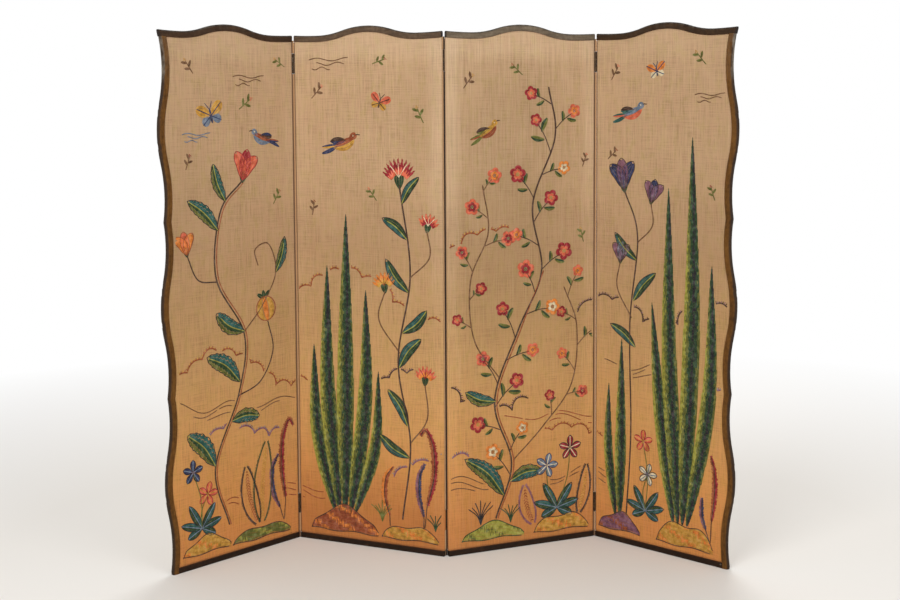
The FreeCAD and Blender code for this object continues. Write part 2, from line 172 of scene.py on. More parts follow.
def make_piece(name, points, faces, body, material, uv):
    """Smooth mesh of points in metres and faces as index arrays, riding on a body. uv is one pair a point."""
    mesh = bpy.data.meshes.new(name)
    mesh.from_pydata(points.reshape(-1, 3).tolist(), [], [face for group in faces for face in group.tolist()])
    corners = np.zeros(len(mesh.loops), np.int32)
    mesh.loops.foreach_get("vertex_index", corners)
    layer = mesh.uv_layers.new(name="panel_place")
    layer.data.foreach_set("uv", uv.reshape(-1, 2)[corners].astype(np.float32).ravel())
    mesh.polygons.foreach_set("use_smooth", np.ones(len(mesh.polygons), bool))
    mesh.materials.append(material)
    piece = bpy.data.objects.new(name, mesh)
    bpy.context.scene.collection.objects.link(piece)
    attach(piece, body)
    return piece


def grid_faces(rows, columns, closed=False, keep=None):
    """Quads of a grid of rows by columns, closed round each row if wanted. keep masks the quads."""
    index = np.arange(rows * columns).reshape(rows, columns)
    if closed:
        index = np.concatenate([index, index[:, :1]], axis=1)
    quads = np.stack([index[:-1, :-1], index[:-1, 1:], index[1:, 1:], index[1:, :-1]], axis=-1)
    return quads[keep] if keep is not None else quads.reshape(-1, 4)


def smoothstep(low, high, value):
    """0 below low, 1 above high and a smooth rise between."""
    share = np.clip((value - low) / (high - low), 0, 1)
    return share * share * (3 - 2 * share)


direct_ray_kinds = ("Is Camera Ray", "Is Glossy Ray", "Is Transmission Ray")


class Wire:
    """An output socket of a finish. Arithmetic on it adds Math nodes."""

    def __init__(self, finish, socket):
        self.finish = finish
        self.socket = socket

    def math(self, operation, *values):
        return self.finish.node("ShaderNodeMath", dict(enumerate(values)), operation=operation)

    def __add__(self, other):
        return self.math("ADD", self, other)

    __radd__ = __add__

    def __sub__(self, other):
        return self.math("SUBTRACT", self, other)

    def __rsub__(self, other):
        return self.math("SUBTRACT", other, self)

    def __mul__(self, other):
        return self.math("MULTIPLY", self, other)

    __rmul__ = __mul__

    def sine(self):
        return self.math("SINE", self)

    def size(self):
        """The value without its sign."""
        return self.math("ABSOLUTE", self)

    def clamp(self, low, high):
        """0 to 1 as the value goes from low to high, straight and held at the ends."""
        return self.finish.node("ShaderNodeMapRange", {0: self, 1: low, 2: high}, clamp=True)


class Finish:
    """A node-based material. Its inputs are the shader's own sockets, by name."""

    def __init__(self, name, **constants):
        self.material = bpy.data.materials.new(name)
        self.material.use_nodes = True
        self.tree = self.material.node_tree
        self.shader = self.tree.nodes["Principled BSDF"]
        for socket, value in constants.items():
            title = socket.replace("_", " ").title().replace("Ior", "IOR")
            self.shader.inputs[title].default_value = value

    def node(self, kind, inputs, output=0, **settings):
        """Add a node, its settings first and then its sockets from values or wires, and give an output."""
        made = self.tree.nodes.new(kind)
        for name, value in settings.items():
            if name == "stops":
                ramp = made.color_ramp
                while len(ramp.elements) < len(value):
                    ramp.elements.new(1.0)
                for element, (place, colour) in zip(ramp.elements, value):
                    element.position = place
                    element.color = colour
            else:
                setattr(made, name, value)
        for key, value in inputs.items():
            if isinstance(value, Wire):
                self.tree.links.new(value.socket, made.inputs[key])
            else:
                made.inputs[key].default_value = value
        return Wire(self, made.outputs[output])

    def screen_point(self):
        """Place in the resting screen's frame, in metres."""
        return self.node("ShaderNodeTexCoord", {}, output=3)

    def panel_point(self, panel):
        """Place in the panel's own frame, in metres."""
        turn = Matrix.Rotation(-panel.turn, 3, "Z")
        shift = -(turn @ Vector(panel.origin))
        return self.node("ShaderNodeMapping", {0: self.screen_point(), 1: shift, 2: (0.0, 0.0, -panel.turn)})

    def cloth_point(self):
        """Place on the cloth in metres: U across the panel, V up it."""
        return self.node("ShaderNodeUVMap", {}, uv_map="panel_place")

    def facing(self, direction):
        """How squarely the surface faces a direction of the resting screen, from -1 to 1."""
        normal = self.node("ShaderNodeTexCoord", {}, output=1)
        inputs = {0: normal, 1: tuple(direction)}
        return self.node("ShaderNodeVectorMath", inputs, output=1, operation="DOT_PRODUCT")

    def scaled(self, place, factors):
        return self.node("ShaderNodeVectorMath", {0: place, 1: factors}, operation="MULTIPLY")

    def part(self, place, axis):
        """One of a vector's three parts."""
        return self.node("ShaderNodeSeparateXYZ", {0: place}, output=axis)

    def noise(self, place, scale, detail=2.0, roughness=0.5):
        inputs = {"Vector": place, "Scale": scale, "Detail": detail, "Roughness": roughness}
        return self.node("ShaderNodeTexNoise", inputs)

    def mix(self, share, first, second, blend="MIX"):
        inputs = {0: share, 6: first, 7: second}
        return self.node("ShaderNodeMix", inputs, output=2, data_type="RGBA", blend_type=blend)

    def ramp(self, value, *stops):
        return self.node("ShaderNodeValToRGB", {0: value}, stops=stops)

    def direct_rays(self):
        """1 where the background shows straight, in a gloss or through glass, and 0 where it lights."""
        rays = [self.node("ShaderNodeLightPath", {}, output=kind) for kind in direct_ray_kinds]
        return (rays[0] + rays[1] + rays[2]).clamp(0.0, 1.0)

    def finish(self, colour=None, roughness=None, height=None, depth=0.001):
        """Link what varies: colour, roughness and a height in shares of a depth in metres."""
        links = {"Base Color": colour, "Roughness": roughness}
        if height is not None:
            bump = {"Strength": 1.0, "Distance": depth, "Height": height}
            links["Normal"] = self.node("ShaderNodeBump", bump)
        for socket, wire in links.items():
            if wire is not None:
                self.tree.links.new(wire.socket, self.shader.inputs[socket])
        return self.material


class Surround(Finish):
    """The world's own nodes."""

    def __init__(self, world):
        world.use_nodes = True
        self.tree = world.node_tree
        self.shader = self.tree.nodes["Background"]


def paint(red, green, blue):
    """Linear colour from the 0 to 255 values that a screen shows."""
    shown = np.array([red, green, blue]) / 255
    linear = np.where(shown > 0.04045, ((shown + 0.055) / 1.055) ** 2.4, shown / 12.92)
    return (*linear.tolist(), 1.0)


# Painted shade laid over the wood's grain on its outer round, inner round and end faces, and the worn grey
outer_round_shade = paint(34, 27, 23)
inner_round_shade = paint(92, 54, 30)
end_face_shade = paint(28, 21, 17)
worn_grey = paint(168, 158, 142)


def wood_finish(panel, name, grain, outward, tones, worn_from, worn_share):
    """Dark satin wood with its grain along one axis of the panel.

    The outer round and the ends are painted nearly black and the inner round brown: painted shade of the
    rounded section and of the end faces. Above a height the outer edge is worn to a pale grey. tones are
    the grain's dark, middle and light.
    """
    finish = Finish(name, coat_weight=0.02, coat_roughness=0.4, specular_ior_level=0.12)
    place = finish.panel_point(panel)
    long_fibre = 0.05
    stretch = (long_fibre, 1.0, 1.0) if grain == "X" else (1.0, 1.0, long_fibre)
    lengthwise = finish.scaled(place, stretch)
    fibre = finish.noise(lengthwise, 900.0, 3.0, 0.6)
    figure = finish.noise(lengthwise, 130.0, 2.0)
    cloud = finish.noise(place, 14.0, 3.0)
    blotch = finish.noise(place, 70.0, 3.0, 0.6)
    tone = fibre * 0.4 + figure * 0.3 + cloud * 0.25 + blotch * 0.35 - 0.15
    dark, middle, light = tones
    colour = finish.ramp(tone, (0.28, paint(*dark)), (0.5, paint(*middle)), (0.78, paint(*light)))
    # Painted shade: the outer round darkens nearly to black and the inner round to brown, by the way each
    # faces
    out = finish.facing(outward)
    colour = finish.mix(out.clamp(0.12, 0.75) * 0.85, colour, outer_round_shade)
    colour = finish.mix((0.0 - out).clamp(0.1, 0.7) * 0.6, colour, inner_round_shade)
    # Painted shade on the end faces of the top and bottom strips
    if grain == "X":
        end = finish.facing(panel.across)
        colour = finish.mix((end * end).clamp(0.3, 0.9) * 0.8, colour, end_face_shade)
    patch = finish.noise(finish.scaled(place, (1.0, 1.0, 0.35)), 70.0, 4.0, 0.6).clamp(0.4, 0.66)
    high = finish.part(place, 2).clamp(worn_from * metres, worn_from * metres + 0.05)
    rubbed = (out + 0.35).clamp(0.2, 1.0)
    colour = finish.mix(patch * high * rubbed * worn_share, colour, worn_grey)
    pits = finish.noise(lengthwise, 1500.0, 2.0)
    roughness = 0.46 + cloud * 0.2 + fibre * 0.1
    return finish.finish(colour, roughness, fibre * 0.6 + pits * 0.4, 0.0004)


def metal_finish(name, colour, worn, metallic, rough):
    """Aged metal: dull film with brighter rubbed places."""
    finish = Finish(name, metallic=metallic)
    place = finish.screen_point()
    film = finish.noise(place, 160.0, 4.0, 0.6)
    grain = finish.noise(place, 1400.0, 2.0)
    rubbed = film.clamp(0.5, 0.72)
    return finish.finish(finish.mix(rubbed, colour, worn), rough + film * 0.25, grain, 0.0002)


def pine_finish(panel):
    """Sawn softwood with straight grain up the panel."""
    finish = Finish(panel.body + "_pine", roughness=0.75)
    place = finish.scaled(finish.panel_point(panel), (1.0, 1.0, 0.06))
    rings = finish.noise(place, 220.0, 3.0, 0.6)
    fine = finish.noise(place, 1600.0, 2.0)
    colour = finish.ramp(rings, (0.3, paint(176, 132, 82)), (0.6, paint(222, 188, 138)))
    return finish.finish(colour, None, rings * 0.5 + fine * 0.5, 0.0004)


# Height shares of the front linen's colours, from the floor up
linen_tone_shares = (
    (0.0, (206, 132, 61)),
    (0.05, (208, 135, 65)),
    (0.15, (211, 146, 76)),
    (0.24, (207, 151, 86)),
    (0.36, (196, 150, 94)),
    (0.46, (187, 146, 97)),
    (0.59, (183, 145, 105)),
    (0.71, (190, 154, 115)),
    (0.87, (191, 155, 117)),
    (1.0, (191, 156, 118)),
)

# How much paler each panel's linen is over the wood behind it, at its left edge, its right edge and its
# top, how much darker it is over the open field, how strong its streaks are, and how red its foot is
cloth_shares = {
    "panel_1": (0.0, 0.06, 0.06, 0.03, 0.14, 0.02),
    "panel_2": (0.04, 0.12, 0.1, 0.03, 0.16, 0.38),
    "panel_3": (0.16, 0.12, 0.1, 0.12, 0.26, 0.16),
    "panel_4": (0.03, 0.0, 0.04, 0.03, 0.14, 0.0),
}
backed_top = 1690.0

# What the front linen's colours are mixed and multiplied with
seam_gap_shade = paint(96, 58, 28)
dark_streak = paint(118, 106, 72)
pale_streak = paint(232, 212, 182)
foot_red = paint(142, 70, 18)
wood_backed = paint(228, 204, 176)
outer_side_shade = paint(120, 88, 56)
open_field_brown = paint(112, 88, 56)
smudge_brown = paint(128, 100, 60)
hue_stops = ((0.34, (0.93, 0.98, 0.80, 1)), (0.5, (1, 1, 1, 1)), (0.66, (1.0, 0.95, 0.97, 1)))
slub_stops = ((0.28, (0.69, 0.66, 0.61, 1)), (0.5, (0.95, 0.95, 0.94, 1)), (0.7, (1, 1, 1, 1)))

# Smudges on the fronts: panel, middle across and up, half width and half height, strength share
smudges = (
    ("panel_3", 230.0, 1380.0, 240.0, 330.0, 0.16),
    ("panel_3", 250.0, 1000.0, 300.0, 300.0, 0.24),
    ("panel_2", 470.0, 1500.0, 80.0, 210.0, 0.18),
    ("panel_2", 300.0, 1080.0, 260.0, 170.0, 0.14),
    ("panel_1", 110.0, 1240.0, 120.0, 200.0, 0.14),
    ("panel_4", 420.0, 1080.0, 120.0, 220.0, 0.12),
)


def weave(finish, place, pitch):
    """Plain weave of uneven threads: its height, how thick they run both ways and their crossings."""
    across = finish.part(place, 0)
    up = finish.part(place, 1)
    turn = 2 * math.pi / (pitch * metres)
    wander = finish.noise(place, 60.0, 2.0) * 3.0
    warp = (across * turn + wander).sine()
    weft = (up * turn + wander).sine()
    thick_warp = finish.noise(finish.scaled(place, (1.0, 0.035, 1.0)), 330.0, 3.0, 0.65) - 0.5
    thick_weft = finish.noise(finish.scaled(place, (0.035, 1.0, 1.0)), 330.0, 3.0, 0.65) - 0.5
    crossings = warp * weft
    height = crossings * 0.3 + 0.5 + thick_warp * 0.7 + thick_weft * 0.7
    return height, thick_warp, thick_weft, crossings


def front_linen_finish(panel):
    """Aged tan linen: slubby weave, warmer towards the floor, paler over the folded seam edges, smudged, with
    painted shade.
    """
    finish = Finish(panel.body + "_front_linen", roughness=0.86, sheen_weight=0.06, sheen_roughness=0.5)
    place = finish.cloth_point()
    across = finish.part(place, 0)
    up = finish.part(place, 1)
    height, thick_warp, thick_weft, crossings = weave(finish, place, 1.9)
    stops = [(share, paint(*tone)) for share, tone in linen_tone_shares]
    colour = finish.ramp(up * (1 / (crest_height * metres)), *stops)
    cloud = finish.noise(place, 5.0, 4.0, 0.6)
    hue = finish.noise(finish.scaled(place, (1.0, 0.5, 1.0)), 38.0, 3.0, 0.7)
    colour = finish.mix(0.8, colour, finish.ramp(hue, *hue_stops), "MULTIPLY")
    slub = thick_warp * 1.0 + thick_weft * 0.75 + (cloud - 0.5) * 0.35 + crossings * 0.035
    colour = finish.mix(1.0, colour, finish.ramp(slub + 0.5, *slub_stops), "MULTIPLY")
    left_share, right_share, top_share, field_share, streak_share, foot_share = cloth_shares[panel.body]
    streaks = finish.noise(finish.scaled(place, (1.0, 0.015, 1.0)), 260.0, 3.0, 0.7)
    streaked = (up.clamp(0.5, 1.4) * 0.6 + 0.4) * streak_share
    colour = finish.mix(streaks.clamp(0.51, 0.66) * streaked, colour, dark_streak)
    colour = finish.mix((1.0 - streaks).clamp(0.51, 0.66) * streaked * 0.6, colour, pale_streak)
    foot = 1.0 - (up + (cloud - 0.5) * 0.3).clamp(0.1, 0.42)
    colour = finish.mix(foot * foot_share, colour, foot_red)
    ragged = thick_warp * 0.016 + (cloud - 0.5) * 0.014
    field = 1.0 - (up + ragged).clamp((backed_top - 24) * metres, (backed_top + 24) * metres)
    colour = finish.mix((1.0 - field) * top_share, colour, wood_backed)
    high = up.clamp(0.75, 1.45) * 0.85 + 0.15
    for side, share in (("left", left_share), ("right", right_share)):
        edge = across if side == "left" else panel_width * metres - across
        if panel.scalloped == side:
            # Painted shade: the linen darkens towards the scalloped outer side, more so higher up
            outer = (1.0 - edge.clamp(0.0, 0.24)) * up.clamp(0.3, 1.1)
            colour = finish.mix(outer * 0.1, colour, outer_side_shade)
        else:
            off = (edge + ragged).clamp((stile_width - 18) * metres, (stile_width + 16) * metres)
            colour = finish.mix((1.0 - off) * high * share, colour, wood_backed)
            field = field * off
            # Painted shade: a dark brown line along a front-hinged seam edge, beside the welt's gap
            if (side, "front") in hinged_edges(panel):
                gap_shade_share = 1.0 - (edge + thick_warp * 0.002).clamp(0.0026, 0.0056)
                colour = finish.mix(gap_shade_share * 0.75, colour, seam_gap_shade)
    colour = finish.mix(field * field_share, colour, open_field_brown)
    for body, middle, level, half_width, half_height, strength in smudges:
        if body == panel.body:
            sideways = (across - middle * metres) * (1 / (half_width * metres))
            upward = (up - level * metres) * (1 / (half_height * metres))
            far = (sideways * sideways + upward * upward) + (cloud - 0.5) * 1.6 - thick_warp * 1.2
            colour = finish.mix((1.0 - far.clamp(0.0, 1.3)) * strength, colour, smudge_brown)
    return finish.finish(colour, None, height, 0.0006)


def plain_linen_finish(name, tone, pitch):
    """Plainer linen for the backs."""
    finish = Finish(name, roughness=0.88, sheen_weight=0.1, sheen_roughness=0.5)
    place = finish.cloth_point()
    height, thick_warp, thick_weft, crossings = weave(finish, place, pitch)
    cloud = finish.noise(place, 7.0, 4.0, 0.6)
    shade = thick_warp * 0.8 + thick_weft * 0.8 + cloud * 0.55 + crossings * 0.05 + 0.22
    dark = tuple(0.68 * part for part in paint(*tone)[:3]) + (1.0,)
    return finish.finish(finish.ramp(shade, (0.3, dark), (0.7, paint(*tone))), None, height, 0.0005)


def piping_finish(name, bead, groove_shade, flange):
    """Linen over a cord: its own tone on the bead, painted shade down both sides, darker at the foot, and a
    flange.

    U runs round the section from beside the flange, over the bead's far side, front and near side.
    """
    finish = Finish(name, roughness=0.88, sheen_weight=0.08, sheen_roughness=0.5)
    place = finish.cloth_point()
    height, thick_warp, thick_weft, crossings = weave(finish, place, 1.2)
    round_way = finish.part(place, 0)
    # Painted shade: away from its front the bead darkens to the groove colour, down both sides
    gap_shade_share = ((round_way - bead_front).size() + thick_warp * 0.002).clamp(0.0018, 0.0042)
    colour = finish.mix(gap_shade_share * 0.85, paint(*bead), paint(*groove_shade))
    colour = finish.mix(round_way.clamp(flange_start, flange_start + 0.0008), colour, paint(*flange))
    # Darker at the foot, in the same colour
    foot = 1.0 - finish.part(place, 1).clamp(bottom_edging_width * metres, (bottom_edging_width + 8) * metres)
    colour = finish.mix(foot * 0.75, colour, paint(*groove_shade))
    shade = thick_warp * 0.8 + thick_weft * 0.8 + crossings * 0.05 + 0.5
    worn = finish.ramp(shade, (0.2, (0.7, 0.68, 0.64, 1)), (0.6, (1, 1, 1, 1)))
    return finish.finish(finish.mix(1.0, colour, worn, "MULTIPLY"), None, height, 0.0005)


def linen_lift(panel, x, z):
    """How far the stretched front linen stands proud of its flat place: broad waves that die at its edges."""
    seed = panels.index(panel) + 1.0
    wave = (
        np.sin(x / 47.0 + 2.1 * seed + 0.8 * np.sin(z / 160.0 + seed))
        + np.sin(z / 73.0 + 1.3 * seed + 0.9 * np.sin(x / 110.0))
        + np.sin((x + z) / 61.0 + 0.7 * seed)
    )
    held = 60.0
    rim = smoothstep(0, held, x) * smoothstep(0, held, panel_width - x)
    rim = rim * smoothstep(bottom_edging_width, bottom_edging_width + held, z)
    rim = rim * smoothstep(edging_width, edging_width + held, top_line(x, 0) - z)
    return linen_sag * (0.5 + wave / 6) * rim


# Wool threads of the needlework, as a screen shows them
thread_table = {
    "charcoal": (36, 32, 34),
    "dark_brown": (72, 46, 32),
    "mid_brown": (116, 78, 46),
    "rust": (158, 76, 38),
    "coral": (222, 104, 70),
    "crimson": (158, 30, 38),
    "orange": (228, 132, 48),
    "ochre": (206, 152, 56),
    "cream": (230, 212, 172),
    "olive": (106, 108, 40),
    "yellow_green": (164, 158, 58),
    "dark_green": (38, 66, 32),
    "teal": (36, 90, 82),
    "navy": (38, 46, 84),
    "grey_blue": (112, 126, 144),
    "mauve": (134, 84, 102),
}

# Thicknesses of the threads
fill_thread = 2.6
petal_thread = 1.1 * fill_thread
line_thread = 4.2
fine_thread = 3.2
hair_thread = 2.4
plume_thread = 2.9
wisp_thread = 2.9
knot_thread = 3.4
ridge_thread = 4.6
leg_thread = 2.8
furrow_thread = 3.0

# Stitches. A rise lifts a stitch over those below
thread_spacing = 2.5
stitch_length = 11.0
stem_stitch = 6.0
stem_overlap = 2.0
least_run = 6
thread_height_share = 0.4
most_thread_height = 1.1
outline_rise = 0.35
vein_rise = 0.45
needlework_margin = 7.0
golden_turn = 2.399963

# Where the ten points of a stitch lie along it: a pole, a ring of four, another ring and a pole
ring_shares = np.array([0.0] + [0.13] * 4 + [0.87] * 4 + [1.0])

# Threads of the motifs that come back
vine_leaf = ("dark_green", "olive")
broad_leaf = ("dark_green", "teal", "olive")
narrow_leaf = ("teal", "dark_green")
blade_greens = ("yellow_green", "olive", "dark_green", "charcoal", "dark_green", "olive")
vine_flowers = (
    ("coral", "orange", "crimson"), ("crimson", "coral", "ochre"),
    ("orange", "cream", "rust"), ("coral", "crimson", "dark_green"),
)
sandy_hill = ("ochre", "orange", "dark_brown")
red_plume = ("rust", "crimson", "dark_brown")
mauve_plume = ("mauve", "navy", "dark_brown")
orange_plume = ("orange", "rust", "dark_brown")
warm_ridge = ("rust", "ochre")
cool_ridge = ("mauve", "grey_blue")
dark_ridge = ("dark_brown", "mauve")

chance = np.random.default_rng(20)


def smooth_path(places, spacing):
    """Points an even distance apart on a smooth curve through the places.

    The curve is a cubic between each two places, and at a place it heads along the line that joins the
    place before and the one after.
    """
    places = np.asarray(places, float)
    ends = np.concatenate([[2 * places[0] - places[1]], places, [2 * places[-1] - places[-2]]])
    share = np.linspace(0, 1, 24, endpoint=False)[:, None, None]
    a, b, c, d = ends[:-3], ends[1:-2], ends[2:-1], ends[3:]
    square, cube = 2 * a - 5 * b + 4 * c - d, 3 * b - a - 3 * c + d
    curve = 2 * b + (c - a) * share + square * share**2 + cube * share**3
    fine = np.concatenate([curve.transpose(1, 0, 2).reshape(-1, 2) / 2, places[-1:]])
    run = np.concatenate([[0], np.cumsum(np.hypot(*np.diff(fine, axis=0).T))])
    even = np.linspace(0, run[-1], max(3, int(round(run[-1] / spacing)) + 1))
    return np.stack([np.interp(even, run, fine[:, 0]), np.interp(even, run, fine[:, 1])], 1)


def headings(path):
    """Unit directions along a path and square to it, to its left."""
    along = np.gradient(path, axis=0)
    along /= np.hypot(along[:, 0], along[:, 1])[:, None]
    return along, np.stack([-along[:, 1], along[:, 0]], 1)


def pointing(turn):
    """Unit direction at a turn from the panel's length, for one turn or an array of them."""
    return np.stack([np.cos(turn), np.sin(turn)], -1)


def bowed_axis(base, tip, bend, spacing):
    """Path from a base to a tip that bows to its left by a bend."""
    base, tip = np.asarray(base, float), np.asarray(tip, float)
    across = np.array([base[1] - tip[1], tip[0] - base[0]])
    across /= np.hypot(*across)
    return smooth_path([base, (base + tip) / 2 + across * bend, tip], spacing)


def long_runs(kept):
    """The mask without its shortest runs, of fewer than a least count."""
    edges = np.flatnonzero(np.diff(np.concatenate([[0], kept.astype(int), [0]])))
    long = np.zeros(len(kept), bool)
    for start, stop in zip(edges[0::2], edges[1::2]):
        long[start:stop] = stop - start >= least_run
    return long


class Needlework:
    """Stitches of one panel, gathered by thread colour. A row holds start, end, thickness and rise."""

    def __init__(self):
        self.rows = {}

    def sew(self, colour, starts, ends, thickness, rise=0.0):
        """Straight stitches from starts to ends. The rise lifts them over the stitches below."""
        rows = np.column_stack(np.broadcast_arrays(
            starts[:, 0], starts[:, 1], ends[:, 0], ends[:, 1], thickness, rise))
        self.rows.setdefault(colour, []).append(rows)

    def line(self, colour, places, thickness=line_thread, rise=0.25):
        """Stem stitch along a curve: short stitches that slant across it and overlap."""
        path = smooth_path(places, stem_stitch)
        along, left = headings(path)
        past = along * stem_overlap + left * thickness * 0.17
        self.sew(colour, path[:-1] - past[:-1], path[1:] + past[1:], thickness, rise)

    def leaf(self, colours, base, tip, width, bend=0.0, vein=None, notch=0.0, outline=None):
        """Leaf or petal in slanted satin stitch from its midrib to both edges. notch makes the edges toothed.

        The half width is the leaf's width times a sine arch that is fuller towards the base. colours is
        one colour, or the left half's and the right half's, and a third for the left half's outer stitches.
        """
        if isinstance(colours, str):
            colours = (colours, colours)
        left_outer = colours[2] if len(colours) > 2 else colours[0]
        axis = bowed_axis(base, tip, bend, thread_spacing * 0.95)
        along, left = headings(axis)
        share = np.linspace(0, 1, len(axis))
        tooth_pitch = 16.0
        half = width / 2 * np.sin(math.pi * share**0.8) ** 0.75
        half = half * (1 + notch * np.sin(share * len(axis) * thread_spacing * 2 * math.pi / tooth_pitch))
        forward = along * (half * 0.7)[:, None]
        for side, colour, outer in ((1, colours[0], left_outer), (-1, colours[1], colours[1])):
            edge = axis + left * (side * half)[:, None] + forward
            inside = share < 0.93
            middle = axis * 0.45 + edge * 0.55
            long = inside & (half > 9)
            short = inside & ~long
            self.sew(colour, axis[short], edge[short], fill_thread)
            self.sew(colour, axis[long], middle[long], fill_thread)
            self.sew(outer, middle[long], edge[long], fill_thread)
        if outline:
            for side in (1, -1):
                edge = (axis + left * (side * (half + 1.2))[:, None] + forward)[share < 0.94]
                self.line(outline, np.concatenate([edge[::4], axis[-1:]]), fill_thread, rise=0.3)
        if vein:
            self.line(vein, axis[:: max(1, len(axis) // 5)], fine_thread, rise=vein_rise)

    def leaves(self, colours, rows, notch=0.0):
        """Outlined leaves with a pale vein, from rows of base, tip, width and bend."""
        for base, tip, width, bend in rows:
            self.leaf(colours, base, tip, width, bend, "yellow_green", notch, "charcoal")

    def blade(self, colours, base, tip, width, bend):
        """Long pointed leaf in lengthwise stitches. Its colours run from its left edge to its right one."""
        point_step = 2.0
        axis = bowed_axis(base, tip, bend, point_step)
        left = headings(axis)[1]
        share = np.linspace(0, 1, len(axis))
        half = width / 2 * np.sin(math.pi * share**0.72) ** 0.62
        lanes = int(width / 2 / thread_spacing)
        for lane in range(-lanes, lanes + 1):
            offset = lane * thread_spacing
            inside = np.flatnonzero(np.abs(offset) <= half)
            if len(inside) < 4:
                continue
            path = axis + left * (offset * (0.55 + 0.45 * half / (width / 2)))[:, None]
            step = int(stitch_length / point_step)
            starts = np.arange(inside[0] - chance.integers(0, step), inside[-1], step)
            ends = np.minimum(starts + step + 1, inside[-1])
            starts = np.maximum(starts, inside[0])
            shade = (lanes - lane) / (2 * lanes + 1) * len(colours)
            stripes = np.clip((shade + chance.normal(0, 0.3, len(starts))).astype(int), 0, len(colours) - 1)
            for stripe, colour in enumerate(colours):
                picked = stripes == stripe
                if picked.any():
                    self.sew(colour, path[starts[picked]], path[ends[picked]], fill_thread, 0.15 * (lane % 2))

    def sheaf(self, rows):
        """Green blades, from rows of base, tip, width and bend."""
        for base, tip, width, bend in rows:
            self.blade(blade_greens, base, tip, width, bend)

    def blossom(self, colours, centre, radius, turn):
        """Open flower: radial stitches in two rings, longer at each petal's middle, and a knotted heart."""
        petals = 5
        count = int(2 * math.pi * radius * 0.72 / thread_spacing)
        angle = np.linspace(0, 2 * math.pi, count, endpoint=False) + turn
        ray = pointing(angle)
        lobe = np.abs(np.sin(petals * (angle - turn) / 2)) ** 0.55
        outer = radius * (0.62 + 0.38 * lobe)
        middle = outer * chance.uniform(0.52, 0.62, count)
        self.sew(colours[0], centre + ray * middle[:, None], centre + ray * outer[:, None], petal_thread, 0.1)
        ray, middle = ray[::2], middle[::2, None]
        self.sew(colours[1], centre + ray * radius * 0.2, centre + ray * middle * 1.05, petal_thread, 0.15)
        self.knots(colours[2], centre, radius * 0.26)

    def knots(self, colour, centre, radius):
        """Cluster of small knots that fills a round."""
        count = max(4, int((radius / 2.0) ** 2 / 1.6))
        index = np.arange(count) + 0.5
        reach = radius * np.sqrt(index / count)
        place = np.asarray(centre) + reach[:, None] * pointing(index * golden_turn)
        size = np.array([1.3, 0.6])
        self.sew(colour, place - size, place + size, knot_thread, outline_rise)

    def fan(self, colours, base, turn, radius):
        """Fan-shaped flower with a toothed rim over a green cup. turn is its middle's direction."""
        base = np.asarray(base, float)
        spread = 1.9
        count = int(spread * radius * 0.75 / thread_spacing)
        ray = pointing(turn + np.linspace(-spread / 2, spread / 2, count))
        outer = radius * (0.9 + 0.13 * np.sin(np.arange(count) * 1.3))
        outer = (outer * (1 - 0.18 * np.linspace(-1, 1, count) ** 2))[:, None]
        self.sew(colours[0], base + ray * (outer * 0.66), base + ray * outer, petal_thread)
        self.sew(colours[1], base + ray * radius * 0.36, base + ray * (outer * 0.7), petal_thread, 0.1)
        ahead = pointing(turn) * radius
        self.leaf(colours[2], base - ahead * 0.15, base + ahead * 0.5, radius * 0.4)
        for side in (-0.42, 0.0, 0.42):
            root, tip = base + ahead * 0.3, base + pointing(turn + side) * radius * 0.8
            self.line(colours[3], [root, (root + tip) / 2, tip], fine_thread)

    def bell(self, colours, base, turn, length):
        """Tulip of three long petals, the outer two in one colour, over a small cup."""
        base = np.asarray(base, float)
        for side, colour, size in ((-0.5, colours[0], 0.95), (0.5, colours[0], 0.95), (0.0, colours[1], 1.0)):
            tip = base + pointing(turn + side) * length * size
            self.leaf(colour, base, tip, length * 0.42, -side * length * 0.2, outline=colours[3])
        ahead = pointing(turn) * length
        self.leaf(colours[2], base - ahead * 0.12, base + ahead * 0.32, length * 0.3)

    def fruit(self, colours, centre, radius, turn):
        """Round fruit in three bands of crosswise satin stitch, with an outline and a three-pointed crown."""
        centre = np.asarray(centre, float)
        ahead = pointing(turn)
        level = np.arange(-radius + 2, radius - 1, thread_spacing)
        half = pointing(turn + math.pi / 2) * (np.sqrt(radius**2 - level**2) * 0.92)[:, None]
        middle = centre + ahead * level[:, None]
        band_ends = (-1.0, -0.33, 0.33, 1.0)
        for low, high, colour in zip(band_ends[:-1], band_ends[1:], (colours[0], colours[1], colours[0])):
            self.sew(colour, middle + half * low, middle + half * high, fill_thread)
        rim = centre + radius * pointing(np.linspace(0, 2 * math.pi, 17))
        self.line(colours[2], rim, fine_thread, rise=outline_rise)
        for side in (-0.45, 0.0, 0.45):
            tip = centre + pointing(turn + side) * radius * 1.55
            self.leaf(colours[3], centre + ahead * radius * 0.85, tip, radius * 0.36)

    def plume(self, colours, root, places, reach):
        """Curved plume on a thin stem: slanted stitches of uneven length, a colour to each side of a rib."""
        self.line(colours[2], [root, np.add(root, places[0]) / 2, places[0], places[1]], fine_thread)
        path = smooth_path(places, 3.3)
        along, left = headings(path)
        share = np.linspace(0, 1, len(path))
        length = reach * np.sin(math.pi * (0.1 + 0.82 * share)) ** 0.6 * chance.uniform(0.6, 1.15, len(path))
        for side, colour in ((1, colours[0]), (-1, colours[1])):
            out = left * side * 0.86 + along * 0.5
            self.sew(colour, path, path + out * length[:, None], plume_thread, 0.1)
        self.line(colours[2], np.concatenate([path[::7], path[-1:]]), fine_thread, rise=outline_rise)

